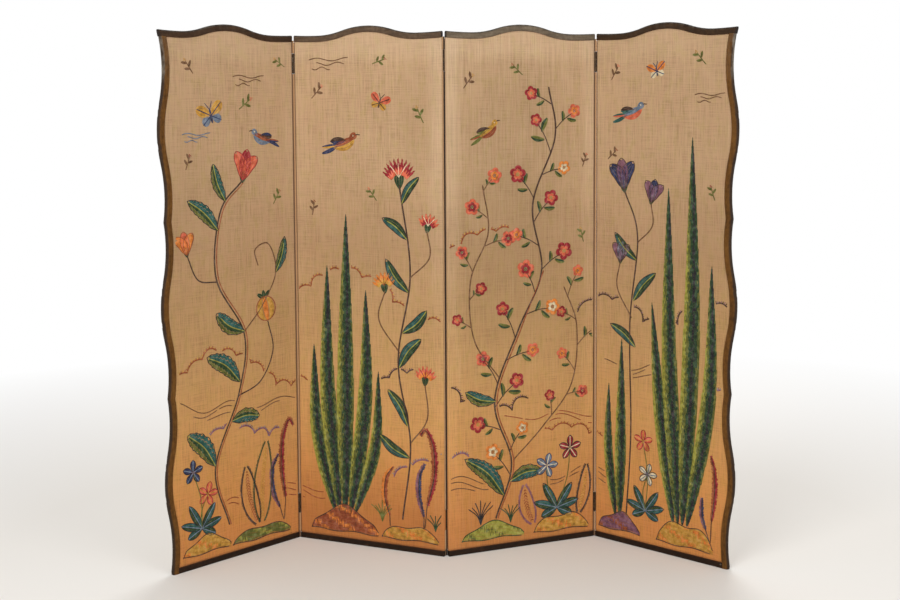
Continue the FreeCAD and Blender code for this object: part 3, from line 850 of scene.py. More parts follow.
    def open_leaf(self, colours, base, tip, width, bend):
        """Leaf drawn by its edge in feather stitch, with a row of chevrons up its middle."""
        axis = bowed_axis(base, tip, bend, 5.0)
        along, left = headings(axis)
        share = np.linspace(0, 1, len(axis))
        half = width / 2 * np.sin(math.pi * (0.02 + 0.96 * share) ** 0.85) ** 0.7
        for side in (1, -1):
            edge = axis + left * (side * half)[:, None]
            self.line(colours[0], np.concatenate([edge[::3], edge[-1:]]), fine_thread)
            rim = smooth_path(edge, 3.6)
            rim_along, rim_left = headings(rim)
            ticks = rim_left * side * chance.uniform(4.5, 8.0, (len(rim), 1)) + rim_along * 1.5
            self.sew(colours[0], rim, rim + ticks, hair_thread, 0.2)
            arms = (left * side * 0.6 - along * 0.7) * np.minimum(half * 0.62, 15)[:, None]
            inner = slice(3, -3, 2)
            self.sew(colours[1], axis[inner], axis[inner] + arms[inner], fine_thread, 0.1)

    def star(self, colours, centre, radius, turn):
        """Flower of five pointed petals with a midline and a firm outline each, round a knotted heart."""
        petals = 5
        for angle in turn + np.arange(petals) * 2 * math.pi / petals:
            ahead = pointing(angle) * radius
            base, tip = centre + ahead * 0.06, centre + ahead
            self.leaf(colours[0], base, tip, radius * 0.46, vein=colours[1], outline=colours[2])
        self.knots(colours[3], centre, radius * 0.18)

    def star_plant(self, colours, root, flowers, radius):
        """Star flowers on thin stems over a rosette of dark leaves."""
        root = np.asarray(root, float)
        for number, flower in enumerate(flowers):
            middle = (root + flower) / 2 + [(-1) ** number * 14, 0]
            self.line("olive", [root, middle, flower], fine_thread)
            self.star(colours[number % len(colours)], flower, radius, 0.3 + number)
        for angle, length in ((0.25, 2.0), (0.95, 2.3), (2.1, 2.4), (2.85, 2.1), (-0.45, 1.5), (3.55, 1.5)):
            tip = root + radius * length * pointing(angle)
            self.leaf(("dark_green", "teal"), root, tip, radius * 0.62, vein="grey_blue", outline="charcoal")

    def mound(self, colours, centre, half_width, height):
        """Low hill: upright stitches in short lengths under a lobed top, with a dark thread round it.

        The top is a sine arch raised to a small power, times a slower wave that gives it two lobes.
        """
        centre = np.asarray(centre, float)
        x = np.arange(-half_width, half_width, thread_spacing)
        share = (x + half_width) / (2 * half_width)
        lobes = 0.86 + 0.14 * np.sin(3 * math.pi * share + 0.6 + centre[0] / 70)
        top = height * np.sin(math.pi * share) ** 0.55 * lobes
        foot = 3 * np.sin(x / 23)
        for low in np.arange(0, height, 12.0):
            start = foot + low + 4 * np.sin(x * 1.3 + low)
            end = np.minimum(start + 14, top)
            second = np.sin(x / 17 + low / 9) + chance.normal(0, 0.25, len(x)) > 0.75
            for colour, picked in ((colours[0], ~second), (colours[1], second)):
                kept = picked & (end - start > 3)
                below = centre + np.stack([x[kept], start[kept]], 1)
                above = centre + np.stack([x[kept], end[kept]], 1)
                self.sew(colour, below, above, fill_thread, 0.22)
        rim = centre + np.stack([x, top], 1)
        self.line(colours[2], np.concatenate([rim[::5], rim[-1:]]), fine_thread, rise=outline_rise)
        self.line(colours[2], centre + np.stack([x, foot - 1], 1)[::5], fine_thread, rise=outline_rise)

    def tuft(self, colour, base, count, height):
        """Grass: a few blades that fan out from one place."""
        for lean in np.linspace(-0.75, 0.75, count):
            reach = height * (1 - 0.35 * abs(lean)) * chance.uniform(0.85, 1.1)
            tip = (base[0] + reach * lean, base[1] + reach)
            middle = (base[0] + reach * lean * 0.3, base[1] + reach * 0.55)
            self.line(colour, [base, middle, tip], fine_thread)

    def butterfly(self, colours, centre, span, turn):
        """Butterfly with two pairs of wings, a narrow body and two feelers."""
        centre = np.asarray(centre, float)
        upper, lower = (0.62, 0.36, colours[0]), (0.42, 0.3, colours[1])
        for angle, (reach, width, colour) in ((0.6, upper), (2.54, upper), (-0.55, lower), (3.69, lower)):
            tip = centre + span * reach * pointing(angle + turn)
            self.leaf(colour, centre, tip, span * width, vein=colours[2])
        upright = math.pi / 2 + turn
        up = pointing(upright) * span
        self.leaf(colours[2], centre - up * 0.26, centre + up * 0.24, span * 0.11)
        for side in (-0.3, 0.3):
            head, tip = centre + up * 0.2, centre + span * 0.45 * pointing(upright + side)
            self.line(colours[2], [head, (head + tip) / 2, tip], hair_thread)

    def bird(self, colours, place, length, facing=1, rise_turn=0.25):
        """Small bird in flight or at rest, made of leaf shapes: tail, body, head and wing."""

        def at(along, up):
            turned = along * pointing(rise_turn) + up * pointing(rise_turn + math.pi / 2)
            return place + length * turned * (facing, 1)

        back, wing, belly, dark = colours
        self.leaf(wing, at(-0.2, 0.0), at(-0.85, -0.1), length * 0.13, 0.03 * length)
        self.leaf((belly, wing), at(-0.2, 0.02), at(-0.78, 0.1), length * 0.12)
        self.leaf((back, belly), at(-0.38, -0.02), at(0.42, 0.06), length * 0.36, -0.05 * length * facing)
        self.leaf(back, at(0.22, 0.1), at(0.52, 0.2), length * 0.22)
        self.leaf((wing, dark), at(0.12, 0.1), at(-0.42, 0.2), length * 0.24, vein=dark)
        self.line(dark, [at(0.5, 0.18), at(0.57, 0.17), at(0.62, 0.14)], fine_thread)
        self.knots("cream", at(0.4, 0.17), 1.6)

    def bare(self, places):
        """Which places lie on bare cloth, a cell or more from every stitch sewn so far."""
        cell = 4.5
        covered = np.zeros((int(panel_width / cell) + 3, int(crest_height / cell) + 3), bool)
        rows = np.concatenate([part for parts in self.rows.values() for part in parts])
        for share in (0.0, 0.5, 1.0):
            spot = rows[:, 0:2] * (1 - share) + rows[:, 2:4] * share
            index = np.clip((spot / cell).astype(int) + 1, 0, np.array(covered.shape) - 1)
            covered[index[:, 0], index[:, 1]] = True
        for axis in (0, 1):
            covered |= np.roll(covered, 1, axis) | np.roll(covered, -1, axis)
        index = np.clip((places / cell).astype(int) + 1, 0, np.array(covered.shape) - 1)
        return ~covered[index[:, 0], index[:, 1]]

    def ridge(self, colours, places):
        """Hill line of low lobes in stem stitch, with short legs outwards, only where the cloth is bare."""
        cusps = smooth_path(places, 72.0)
        share = np.linspace(0, 1, 14)[:-1, None]
        rise = np.sin(math.pi * share) ** 0.7
        lobes = []
        for start, end in zip(cusps[:-1], cusps[1:]):
            across = np.array([start[1] - end[1], end[0] - start[0]]) * chance.uniform(0.2, 0.42)
            lobes.append(start + (end - start) * share + across * rise)
        path = np.concatenate(lobes + [cusps[-1:]])
        kept = self.bare_stitches(path)
        along, left = headings(path)
        self.thin_stitches(colours[0], path, kept, ridge_thread)
        legs = left * chance.uniform(5.0, 10.0, (len(path), 1)) + along * 2.0
        for turn, colour in enumerate(colours):
            picked = kept[kept % 2 == turn]
            self.sew(colour, path[picked], path[picked] + legs[picked], leg_thread, 0.1)

    def bare_stitches(self, path):
        """First points of the stitches of a path that lie on bare cloth, in runs that are long enough."""
        free = self.bare(path)
        return np.flatnonzero(long_runs(free[:-1] & free[1:]))

    def thin_stitches(self, colour, path, kept, thickness):
        """Stem stitch over the kept parts of a path."""
        along, left = headings(path)
        past = (along * stem_overlap + left * thickness * 0.18)[kept]
        self.sew(colour, path[kept] - past, path[kept + 1] + past, thickness)

    def furrow(self, colour, places):
        """Thin wavy lines side by side, each shorter than the one above, only where the cloth is bare."""
        rows, gap = 3, 17.0
        whole = smooth_path(places, 6.5)
        for row in range(rows):
            path = whole[row * 9: len(whole) - row * 13].copy()
            path[:, 1] += 4.0 * np.sin(path[:, 0] / 38 + row * 1.9) - gap * row
            self.thin_stitches(colour, path, self.bare_stitches(path), furrow_thread)

    def wisp(self, colour, place, length):
        """Breath of wind: thin wavy lines of three lengths."""
        share = np.linspace(0, 1, 9)
        for row, (first, run) in enumerate(((0.0, 1.0), (0.2, 0.7), (0.08, 0.45))):
            x = place[0] + length * (first + run * share)
            z = place[1] - row * length * 0.1 + length * 0.035 * np.sin(share * 8.0 + row * 1.7)
            self.line(colour, np.stack([x, z], 1), wisp_thread)

    def sprig(self, colours, place, size, turn):
        """Scattered sprig: a short stem, three small leaves and a berry."""
        ahead = pointing(turn) * size
        self.line(colours[0], [place - ahead * 0.5, place, place + ahead * 0.35], fine_thread)
        for lean, share in ((0.9, -0.2), (-0.9, -0.05), (0.8, 0.2)):
            base = place + ahead * share
            tip = base + size * 0.42 * pointing(turn + lean)
            self.leaf(colours[0], base, tip, size * 0.16)
        self.knots(colours[1], place + ahead * 0.45, size * 0.1)

    def vine(self, stem, places, thickness, twig, spacing, radius, first=0.1):
        """Stem with twigs to both sides in turn, each with leaves and a blossom at its end."""
        self.line(stem, places, thickness)
        path = smooth_path(places, stem_stitch)
        along, left = headings(path)
        side = 1
        for index in range(int(len(path) * first), len(path) - 2, int(spacing / stem_stitch)):
            length = twig * chance.uniform(0.7, 1.25)
            out = along[index] * 0.65 + left[index] * side * 0.76
            base = path[index]
            end = base + out * length
            middle = (base + end) / 2 + along[index] * length * 0.06
            self.line(stem, [base, middle, end], fine_thread)
            colours = vine_flowers[int(chance.integers(len(vine_flowers)))]
            size = radius * chance.uniform(0.75, 1.15)
            self.blossom(colours, end + out * size * 0.6, size, chance.uniform(0, 6))
            for place, lean in ((0.45, 0.9), (0.7, -0.9)):
                start = base + (end - base) * place
                tip = start + length * 0.5 * pointing(math.atan2(out[1], out[0]) + lean)
                self.leaf(vine_leaf, start, tip, length * 0.17, bend=3 * side)
            side = -side


def stitch_points(panel, rows):
    """Ten points a stitch: a pole at each end and two rings of four near the ends, proud of the linen.

    The rings' points lie under, left of, over and right of the thread's middle line.
    """
    start, end = rows[:, None, 0:2], rows[:, None, 2:4]
    thickness, rise = rows[:, 4:5], rows[:, 5:6]
    along = end - start
    length = np.maximum(np.hypot(along[..., 0], along[..., 1]), 0.1)[..., None]
    left = np.stack([-along[..., 1], along[..., 0]], -1) / length
    across = np.array([0.0] + [0.0, 0.5, 0.0, -0.5] * 2 + [0.0])
    over = np.array([0.0] + [-0.2, 0.4, 1.0, 0.4] * 2 + [0.0])
    place = start + along * ring_shares[:, None] + left * across[:, None] * thickness[..., None]
    height = np.minimum(thickness * thread_height_share, most_thread_height)
    x, z = place[..., 0], place[..., 1]
    y = linen_recess - linen_lift(panel, x, z) - over * height - rise * (over > 0)
    return panel.world(x, y, z)


def stitch_faces(count):
    """Faces of count stitches of ten points: four sides and a fan of four at each end."""
    ring = np.array([0, 1, 2, 3])
    turned = (ring + 1) % 4
    first, second = ring + 1, ring + 5
    sides = np.stack([first, first[turned], second[turned], second], 1)
    low = np.stack([np.zeros(4, int), first[turned], first], 1)
    high = np.stack([np.full(4, 9), second, second[turned]], 1)
    offset = np.arange(count)[:, None, None] * 10
    return [(group + offset).reshape(-1, group.shape[1]) for group in (sides, low, high)]


def stitch_places(rows):
    """Place on each stitch's thread in metres: U along it, V round it."""
    length = np.hypot(rows[:, 2] - rows[:, 0], rows[:, 3] - rows[:, 1])[:, None]
    around = np.array([0.5] + [0.0, 0.25, 0.5, 0.75] * 2 + [0.5])
    start = (np.arange(len(rows)) % 97)[:, None] * 3.0
    return np.stack([start + length * ring_shares, np.repeat(around[None] * 4.0, len(rows), 0)], -1) * metres


def within_field(panel, rows):
    """Stitches whose both ends lie inside the panel's open linen, a margin from its edging and folds."""
    kept = np.ones(len(rows), bool)
    for x, z in ((rows[:, 0], rows[:, 1]), (rows[:, 2], rows[:, 3])):
        left = side_line(z) + edging_width if panel.scalloped == "left" else 0
        right = side_line(z) + edging_width if panel.scalloped == "right" else 0
        kept &= (x > left + needlework_margin) & (x < panel_width - right - needlework_margin)
        kept &= z > bottom_edging_width + needlework_margin
        kept &= z < top_line(np.clip(x, 0, panel_width), edging_width) - needlework_margin
    return rows[kept]


def thread_finish(name, tone):
    """Two-ply wool: colour that drifts from stitch to stitch, twist lines and a soft fuzz."""
    finish = Finish(
        name + "_wool", roughness=0.85, sheen_weight=0.05, sheen_roughness=0.6, specular_ior_level=0.3,
    )
    place = finish.screen_point()
    drift = finish.noise(place, 70.0, 2.0)
    fuzz = finish.noise(place, 900.0, 2.0)
    thread = finish.cloth_point()
    turns = finish.part(thread, 0) * (2 * math.pi / 0.003) + finish.part(thread, 1) * (2 * math.pi / 0.002)
    ply = turns.sine()
    shown = np.array(tone)
    dark = paint(*(shown * 0.72))
    light = paint(*(shown + (255 - shown) * 0.2))
    # The twist lines also shift the colour a little: painted shade in their grooves, painted light on their
    # crests
    tone_share = drift * 0.75 + fuzz * 0.25 + ply * 0.06
    colour = finish.ramp(tone_share, (0.32, dark), (0.5, paint(*tone)), (0.68, light))
    return finish.finish(colour, None, ply * 0.35 + fuzz * 0.5 + 0.5, 0.0006)


def sew_pieces(panel, work, threads):
    """Make one piece a thread colour of a panel's needlework, on its front linen."""
    pieces = []
    for colour, parts in sorted(work.rows.items()):
        rows = within_field(panel, np.concatenate(parts))
        if not len(rows):
            continue
        pieces.append(make_piece(
            f"{panel.body}_{colour}_stitches", stitch_points(panel, rows), stitch_faces(len(rows)),
            panel.body, threads[colour], stitch_places(rows),
        ))
    return pieces


def edge_profile():
    """Turned edge of the front linen at a left seam edge, from its back turn round to the front.

    Two quarter rounds join the back turn, the edge's flat face and the front. Gives along and depth.
    """
    turn = np.radians([0.0, 30.0, 60.0, 90.0])
    radius = linen_fold_radius
    back = np.array([[linen_back_turn, linen_back]])
    back_fold = np.stack([radius - radius * np.sin(turn), linen_back - radius + radius * np.cos(turn)], 1)
    flat = np.array([[0.0, leaf_depth - pin_proud], [0.0, (linen_recess + linen_back) / 2]])
    front_fold = np.stack([radius - radius * np.cos(turn), linen_recess + radius - radius * np.sin(turn)], 1)
    return np.concatenate([back, back_fold, flat, front_fold])


def squeezed_heights(x, shares):
    """Heights of the topmost rows of a linen, shares of the way up to the top strip's inner line."""
    top = top_line(np.clip(x, 0, panel_width), edging_width) + linen_tuck
    return squeeze_height + shares[:, None] * (top - squeeze_height)


def hinge_cuts(panel, x, y, z):
    """Which quads of a front linen's grid stay beside the hinges, and how far its points swell out.

    Where the pins stand at the front, the quads over a leaf's edge are cut. Where they stand at the back,
    the linen swells out over the leaf, and only the quads beside the knuckles are cut.
    """
    hinge_end = hinge_length / 2
    middle_x, middle_y, middle_z = ((part[:-1, :-1] + part[1:, 1:]) / 2 for part in (x, y, z))
    keep = np.ones(middle_x.shape, bool)
    swell = np.zeros(x.shape)
    for side, face in hinged_edges(panel):
        edge = middle_x if side == "left" else panel_width - middle_x
        depth = middle_y if face == "front" else panel_depth - middle_y
        cut_depth = leaf_depth - pin_proud if face == "front" else linen_short_of_knuckle
        for height in hinge_heights:
            beside = (edge < leaf_thickness) & (depth < cut_depth)
            keep &= ~(beside & (np.abs(middle_z - height) < hinge_end))
            if face == "back":
                outward = -1 if side == "left" else 1
                near_edge = (x if side == "left" else panel_width - x) < linen_fold_radius / 4
                level = 1 - smoothstep(hinge_end, hinge_end + pin_head_height, np.abs(z - height))
                behind_fold = smoothstep(linen_fold_radius, 2 * linen_fold_radius, y)
                swell += outward * near_edge * level * behind_fold * linen_over_leaf
    return keep, swell


def front_linen(panel, material):
    """Front linen: a grid over the panel's opening, turned round its seam edges and cut out at the hinges.

    Across the panel a row goes from the left edge's turned profile over the front to the right one. On a
    scalloped side it starts at the side strip's inner line. Up the panel the rows are level, and the
    topmost are squeezed under the top strip's inner line. Gives the piece, its flat width and height and
    its flat area.
    """
    column_step, row_step = 7.0, 9.0
    turned = edge_profile()
    hinge_end = hinge_length / 2
    swell_end = hinge_end + pin_head_height
    reaches = (-swell_end, -hinge_end, hinge_end, swell_end)
    hinge_rows = [height + reach for height in hinge_heights for reach in reaches]
    levels = np.arange(bottom_edging_width - linen_tuck, squeeze_height, row_step)
    levels = np.unique(np.concatenate([levels, hinge_rows, [squeeze_height]]))
    shares = np.linspace(0, 1, 7)[1:]
    front = np.linspace(linen_fold_radius, panel_width - linen_fold_radius, int(panel_width / column_step))
    x = np.concatenate([turned[:-1, 0], front, (panel_width - turned[:-1, 0])[::-1]])
    y = np.concatenate([turned[:-1, 1], np.full(len(front), linen_recess), turned[:-1, 1][::-1]])
    wraps = len(turned) - 1
    z = np.concatenate([np.repeat(levels[:, None], len(x), 1), squeezed_heights(x, shares)])
    x = np.repeat(x[None], len(z), 0)
    y = np.repeat(y[None], len(z), 0)
    if panel.scalloped:
        start = side_line(z[:, wraps]) + edging_width - linen_tuck
        share = (x - linen_fold_radius) / (panel_width - 2 * linen_fold_radius)
        inner = slice(wraps, wraps + len(front))
        x[:, inner] = start[:, None] + share[:, inner] * (panel_width - linen_fold_radius - start[:, None])
        squeezed = slice(len(levels), None)
        z[squeezed, inner] = squeezed_heights(x[squeezed, inner], shares)
        x, y, z = x[:, wraps:], y[:, wraps:], z[:, wraps:]
        if panel.scalloped == "right":
            x, y, z = panel_width - x[:, ::-1], y[:, ::-1], z[:, ::-1]
    flat_across = np.abs(np.diff(x, axis=1)) + np.abs(np.diff(y, axis=1))
    area = float((flat_across[:-1] * np.diff(z, axis=0)[:, :-1]).sum()) * metres**2
    lift = np.where(y == linen_recess, linen_lift(panel, x, z), 0)
    keep, swell = hinge_cuts(panel, x, y, z)

    steps = np.hypot(np.diff(x, axis=1), np.diff(y, axis=1))
    along = np.cumsum(np.concatenate([np.zeros((len(x), 1)), steps], 1), 1)
    first = [int(np.argmax(y[0] == linen_recess))]
    uv = np.stack([along - along[:, first] + x[:, first], z], -1) * metres
    piece = make_piece(
        panel.body + "_front_cover", panel.world(x + swell, y - lift, z), [grid_faces(*x.shape, keep=keep)],
        panel.body, material, uv,
    )
    thicken(piece)
    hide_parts(panel.body + "_front_linen")
    width = float(along.max()) * metres
    length = float(z.max() - z.min()) * metres
    return piece, (width, length), min(area, width * length)


def hinged_edges(panel):
    """The seam edges of a panel, each with the face that its pins stand on."""
    place = panels.index(panel)
    edges = []
    for _, left_panel, face in seam_table:
        if left_panel == place:
            edges.append(("right", face))
        if left_panel + 1 == place:
            edges.append(("left", face))
    return edges


def thicken(piece):
    """Give a sheet the linen's thickness, inwards from the face that shows."""
    solid = piece.modifiers.new("thickness", "SOLIDIFY")
    solid.thickness = linen_thickness * metres
    solid.offset = -1.0


def back_linen(panel, material):
    """Flat back linen, hemmed over the front linen's turned edges, with a shallow step at each hem."""
    column_step, row_step = 14.0, 16.0
    hem, hem_lift, slack_depth = 3.5, 0.35, 0.35
    stops = [hem, linen_back_turn + 2, linen_back_turn + 5]
    middle = np.linspace(stops[-1] + 6, panel_width - stops[-1] - 6, int(panel_width / column_step))
    x = np.concatenate([stops, middle, panel_width - np.array(stops[::-1])])
    levels = np.append(np.arange(bottom_edging_width - linen_tuck, squeeze_height, row_step), squeeze_height)
    shares = np.linspace(0, 1, 6)[1:]
    z = np.concatenate([np.repeat(levels[:, None], len(x), 1), squeezed_heights(x, shares)])
    x = np.repeat(x[None], len(z), 0)
    if panel.scalloped:
        start = side_line(z[:, 0]) + edging_width - linen_tuck
        share = (x - hem) / (panel_width - 2 * hem)
        x = start[:, None] + share * (panel_width - hem - start[:, None])
        z[len(levels):] = squeezed_heights(x[len(levels):], shares)
    if panel.scalloped == "right":
        x, z = panel_width - x[:, ::-1], z[:, ::-1]
    near = np.minimum(x, panel_width - x)
    step = 1 - smoothstep(linen_back_turn + 1, linen_back_turn + 5, near)
    if panel.scalloped:
        step = step * (x > panel_width / 2 if panel.scalloped == "left" else x < panel_width / 2)
    rim = smoothstep(0, 60, near) * smoothstep(0, 80, z) * smoothstep(0, 80, squeeze_height - z)
    slack = slack_depth * rim * (1 + np.sin(x / 52.0 + panels.index(panel)) * np.sin(z / 87.0))
    y = linen_back + hem_lift * step + slack
    uv = np.stack([x, z], -1) * metres
    piece = make_piece(
        panel.body + "_back_cover", panel.world(x, y, z)[:, ::-1], [grid_faces(*x.shape)],
        panel.body, material, uv[:, ::-1],
    )
    thicken(piece)
    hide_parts(panel.body + "_back_linen")


def welt_lengths():
    """Stretches of a seam between and beyond its hinges, from the bottom up."""
    stops = [welt_from_floor]
    for height in hinge_heights:
        reach = hinge_length / 2 + pin_head_height + welt_to_hinge
        stops += [height - reach, height + reach]
    stops.append(panel_height - welt_from_top)
    return list(zip(stops[0::2], stops[1::2]))


def seam_welt(seam, panel, face, material):
    """Covered cord on the pin's line with a flange on the left panel's edge, in three lengths.

    A section is a round with a tail, and fuller on the side where it closes the gap to the right
    panel. Its radius swells and narrows a little along the length, as rucked cloth does. Closed
    rings of it are stacked up the seam, with a flat cap at each end. Between the top strips and
    between the bottom ones the welt is squeezed to a narrow round.
    """
    ring_step, ruck, flange_turn = 5.0, 0.12, 0.28
    narrowing = np.arange(4.0)
    from_floor = bottom_edging_width + narrowing
    from_top = panel_height - edging_width - len(narrowing) + narrowing
    pin_along, pin_depth = pin_place("right", face)
    last_turn = math.asin((seam_gap / 2) / welt_radius)
    turn = np.linspace(math.pi / 2 + flange_turn, 2 * math.pi + math.pi / 2 - last_turn, welt_round_count)
    fuller = welt_side_fullness * smoothstep(0.2, 0.9, np.cos(turn - welt_side_turn))
    outer, inner = seam_gap / 2, seam_gap / 2 - linen_thickness
    tail_x = [[outer, outer, inner, inner]]
    tail_y = [[welt_radius, welt_flange_depth, welt_flange_depth, welt_radius]]
    points, faces, uvs, count = [], [], [], 0
    for low, high in welt_lengths():
        even = np.linspace(low, high, max(3, int((high - low) / ring_step)))
        z = np.unique(np.concatenate([even, from_floor, from_top]))
        z = z[(z >= low) & (z <= high)]
        swell = 1 + ruck / welt_radius * (np.sin(z * 0.9) + np.sin(z * 0.37 + 1.0)) / 2
        free = smoothstep(from_floor[0], from_floor[-1], z) - smoothstep(from_top[0], from_top[-1], z)
        full_radius = welt_radius * swell[:, None] + fuller
        radius = welt_squeezed_radius + (full_radius - welt_squeezed_radius) * free[:, None]
        section_x = np.concatenate([radius * np.cos(turn), np.repeat(tail_x, len(z), 0)], 1)
        section_y = np.concatenate([radius * np.sin(turn), np.repeat(tail_y, len(z), 0)], 1)
        depth = pin_depth + section_y if face == "front" else pin_depth - section_y
        rings = panel.world(pin_along - section_x, depth, z[:, None])
        rows, columns = section_x.shape
        quads = grid_faces(rows, columns, closed=True)
        if face == "back":
            quads = quads[:, ::-1]
        caps = [np.arange(columns)[None], np.arange((rows - 1) * columns, rows * columns)[None]]
        caps = [caps[0][:, ::-1], caps[1]] if face == "front" else [caps[0], caps[1][:, ::-1]]
        points.append(rings.reshape(-1, 3))
        faces += [quads + count] + [cap + count for cap in caps]
        spread = np.linspace(0, welt_round_length, columns)
        uvs.append(np.stack(np.broadcast_arrays(spread, z[:, None] * metres), -1).reshape(-1, 2))
        count += rows * columns
    piece = make_piece(
        seam + "_piping", np.concatenate(points), faces,
        panel.body, material, np.concatenate(uvs),
    )
    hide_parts(seam + "_welt")


def left_design(work):
    """Panel 1: a scrolling stem with tulips, a fruit and broad leaves, over star flowers and plumes."""
    work.mound(sandy_hill, (158, 46), 100, 62)
    work.mound(("olive", "yellow_green", "dark_brown"), (392, 42), 128, 48)
    stem = [(250, 118), (196, 320), (300, 560), (328, 760), (214, 960), (236, 1180), (330, 1282)]
    stem_light = [(257, 118), (204, 320), (308, 558), (337, 762), (223, 962), (244, 1176), (334, 1274)]
    work.line("dark_brown", stem, 5.4)
    work.line("rust", stem_light, 3.4)
    work.line("dark_brown", [(298, 552), (396, 590), (452, 690), (432, 792)])
    work.line("dark_brown", [(218, 948), (140, 962), (98, 1046)])
    work.line("mid_brown", [(330, 770), (408, 850), (470, 960), (440, 1060), (380, 1044), (392, 990)])
    work.bell(("coral", "crimson", "dark_green", "crimson"), (332, 1284), 1.35, 104)
    work.bell(("orange", "coral", "dark_green", "rust"), (98, 1048), 1.75, 78)
    work.fruit(("ochre", "orange", "rust", "dark_green"), (424, 838), 42, 1.75)
    work.leaves(broad_leaf, (
        ((196, 330), (86, 452), 62, -14), ((268, 470), (388, 470), 46, 10),
        ((306, 600), (170, 700), 58, -16), ((330, 770), (212, 842), 50, 12),
        ((226, 1120), (104, 1224), 46, -10), ((258, 1216), (210, 1340), 38, 8),
        ((470, 960), (512, 1080), 34, -8),
    ), 0.12)
    work.open_leaf(("charcoal", "rust"), (372, 96), (326, 300), 66, 10)
    work.open_leaf(("dark_green", "ochre"), (392, 98), (416, 372), 74, 6)
    star_colours = (("navy", "grey_blue", "charcoal", "crimson"), ("coral", "ochre", "crimson", "charcoal"))
    work.star_plant(star_colours, (136, 130), ((104, 326), (162, 242)), 41)
    work.plume(red_plume, (492, 84), ((498, 160), (484, 260), (488, 370), (518, 436), (538, 412)), 17)
    work.plume(mauve_plume, (488, 84), ((472, 130), (444, 190), (440, 270), (466, 318)), 14)
    work.wisp("mid_brown", (300, 1630), 130)
    work.wisp("grey_blue", (90, 1440), 110)
    work.butterfly(("ochre", "grey_blue", "navy"), (206, 1500), 104, 0.25)
    work.bird(("grey_blue", "navy", "rust", "dark_brown"), (420, 1420), 96, -1)


def inner_left_design(work):
    """Panel 2: a sheaf of striped blades and a tall stem of fan-shaped flowers, with plumes and grass."""
    work.sheaf((
        ((140, 112), (64, 700), 54, 30), ((158, 112), (120, 980), 62, 22), ((180, 112), (196, 1160), 66, 0),
        ((202, 112), (270, 900), 60, -26), ((220, 112), (316, 620), 46, -34),
    ))
    work.mound(("rust", "orange", "dark_brown"), (178, 44), 132, 96)
    work.mound(sandy_hill, (432, 42), 108, 56)
    work.line("dark_brown", [(404, 112), (436, 380), (392, 660), (440, 960), (402, 1262)], 5.4)
    work.line("mid_brown", [(436, 380), (500, 470), (492, 590)])
    work.line("mid_brown", [(398, 690), (320, 800), (344, 900)])
    work.line("mid_brown", [(440, 950), (512, 1020), (504, 1110)])
    work.fan(("crimson", "coral", "dark_green", "cream"), (402, 1262), 1.62, 92)
    work.fan(("coral", "orange", "dark_green", "crimson"), (492, 590), 1.5, 62)
    work.fan(("orange", "ochre", "dark_green", "rust"), (344, 900), 1.7, 66)
    work.fan(("coral", "crimson", "dark_green", "cream"), (504, 1110), 1.4, 60)
    work.leaves(narrow_leaf, (
        ((430, 330), (320, 400), 34, 10), ((426, 440), (352, 560), 34, -10),
        ((396, 640), (478, 742), 36, 10), ((410, 760), (500, 840), 34, -10),
        ((432, 900), (348, 1010), 34, 10), ((428, 1080), (336, 1150), 32, -8),
        ((410, 1200), (474, 1290), 26, 8),
    ))
    work.tuft("olive", (326, 96), 7, 74)
    work.tuft("dark_green", (528, 84), 5, 60)
    work.plume(red_plume, (488, 92), ((498, 170), (524, 270), (522, 370), (496, 430), (476, 412)), 17)
    work.plume(mauve_plume, (484, 90), ((484, 130), (466, 200), (468, 270), (488, 312)), 14)
    work.plume(orange_plume, (356, 84), ((354, 120), (336, 180), (340, 250), (368, 292)), 15)
    work.wisp("mid_brown", (60, 1690), 150)
    work.bird(("rust", "navy", "ochre", "dark_brown"), (190, 1400), 110)
    work.butterfly(("coral", "ochre", "dark_brown"), (330, 1540), 74, -0.3)


def inner_right_design(work):
    """Panel 3: a flowering vine that climbs from lower left to upper right, over star flowers and grass."""
    work.mound(("yellow_green", "olive", "dark_green"), (166, 44), 118, 62)
    work.mound(sandy_hill, (430, 42), 108, 66)
    trunk = [(176, 112), (236, 300), (172, 520), (262, 760),
             (352, 960), (318, 1190), (404, 1420), (380, 1590)]
    right_branch = [(244, 310), (360, 420), (470, 560), (490, 760), (440, 900)]
    left_branch = [(190, 600), (96, 740), (84, 940), (150, 1100), (130, 1260)]
    work.vine("dark_brown", trunk, 5.6, 92, 84, 30)
    work.line("rust", [(184, 112), (245, 300), (181, 520), (270, 757), (360, 960)], 4.0)
    work.vine("mid_brown", right_branch, 4.2, 70, 90, 27, 0.3)
    work.vine("mid_brown", left_branch, 4.2, 62, 96, 26, 0.3)
    work.leaves(broad_leaf, (
        ((206, 190), (60, 330), 54, -18), ((230, 236), (352, 262), 46, 12), ((176, 520), (64, 560), 40, 10),
    ), 0.1)
    work.open_leaf(("mauve", "rust"), (318, 78), (286, 214), 54, 8)
    work.open_leaf(("charcoal", "ochre"), (500, 96), (530, 262), 44, -6)
    star_colours = (("crimson", "cream", "charcoal", "ochre"), ("grey_blue", "cream", "navy", "crimson"))
    work.star_plant(star_colours, (412, 122), ((464, 330), (372, 276)), 44)
    work.tuft("charcoal", (118, 96), 7, 84)
    work.tuft("dark_green", (232, 92), 6, 66)
    work.bird(("ochre", "olive", "rust", "dark_brown"), (150, 1440), 92, 1, 0.5)


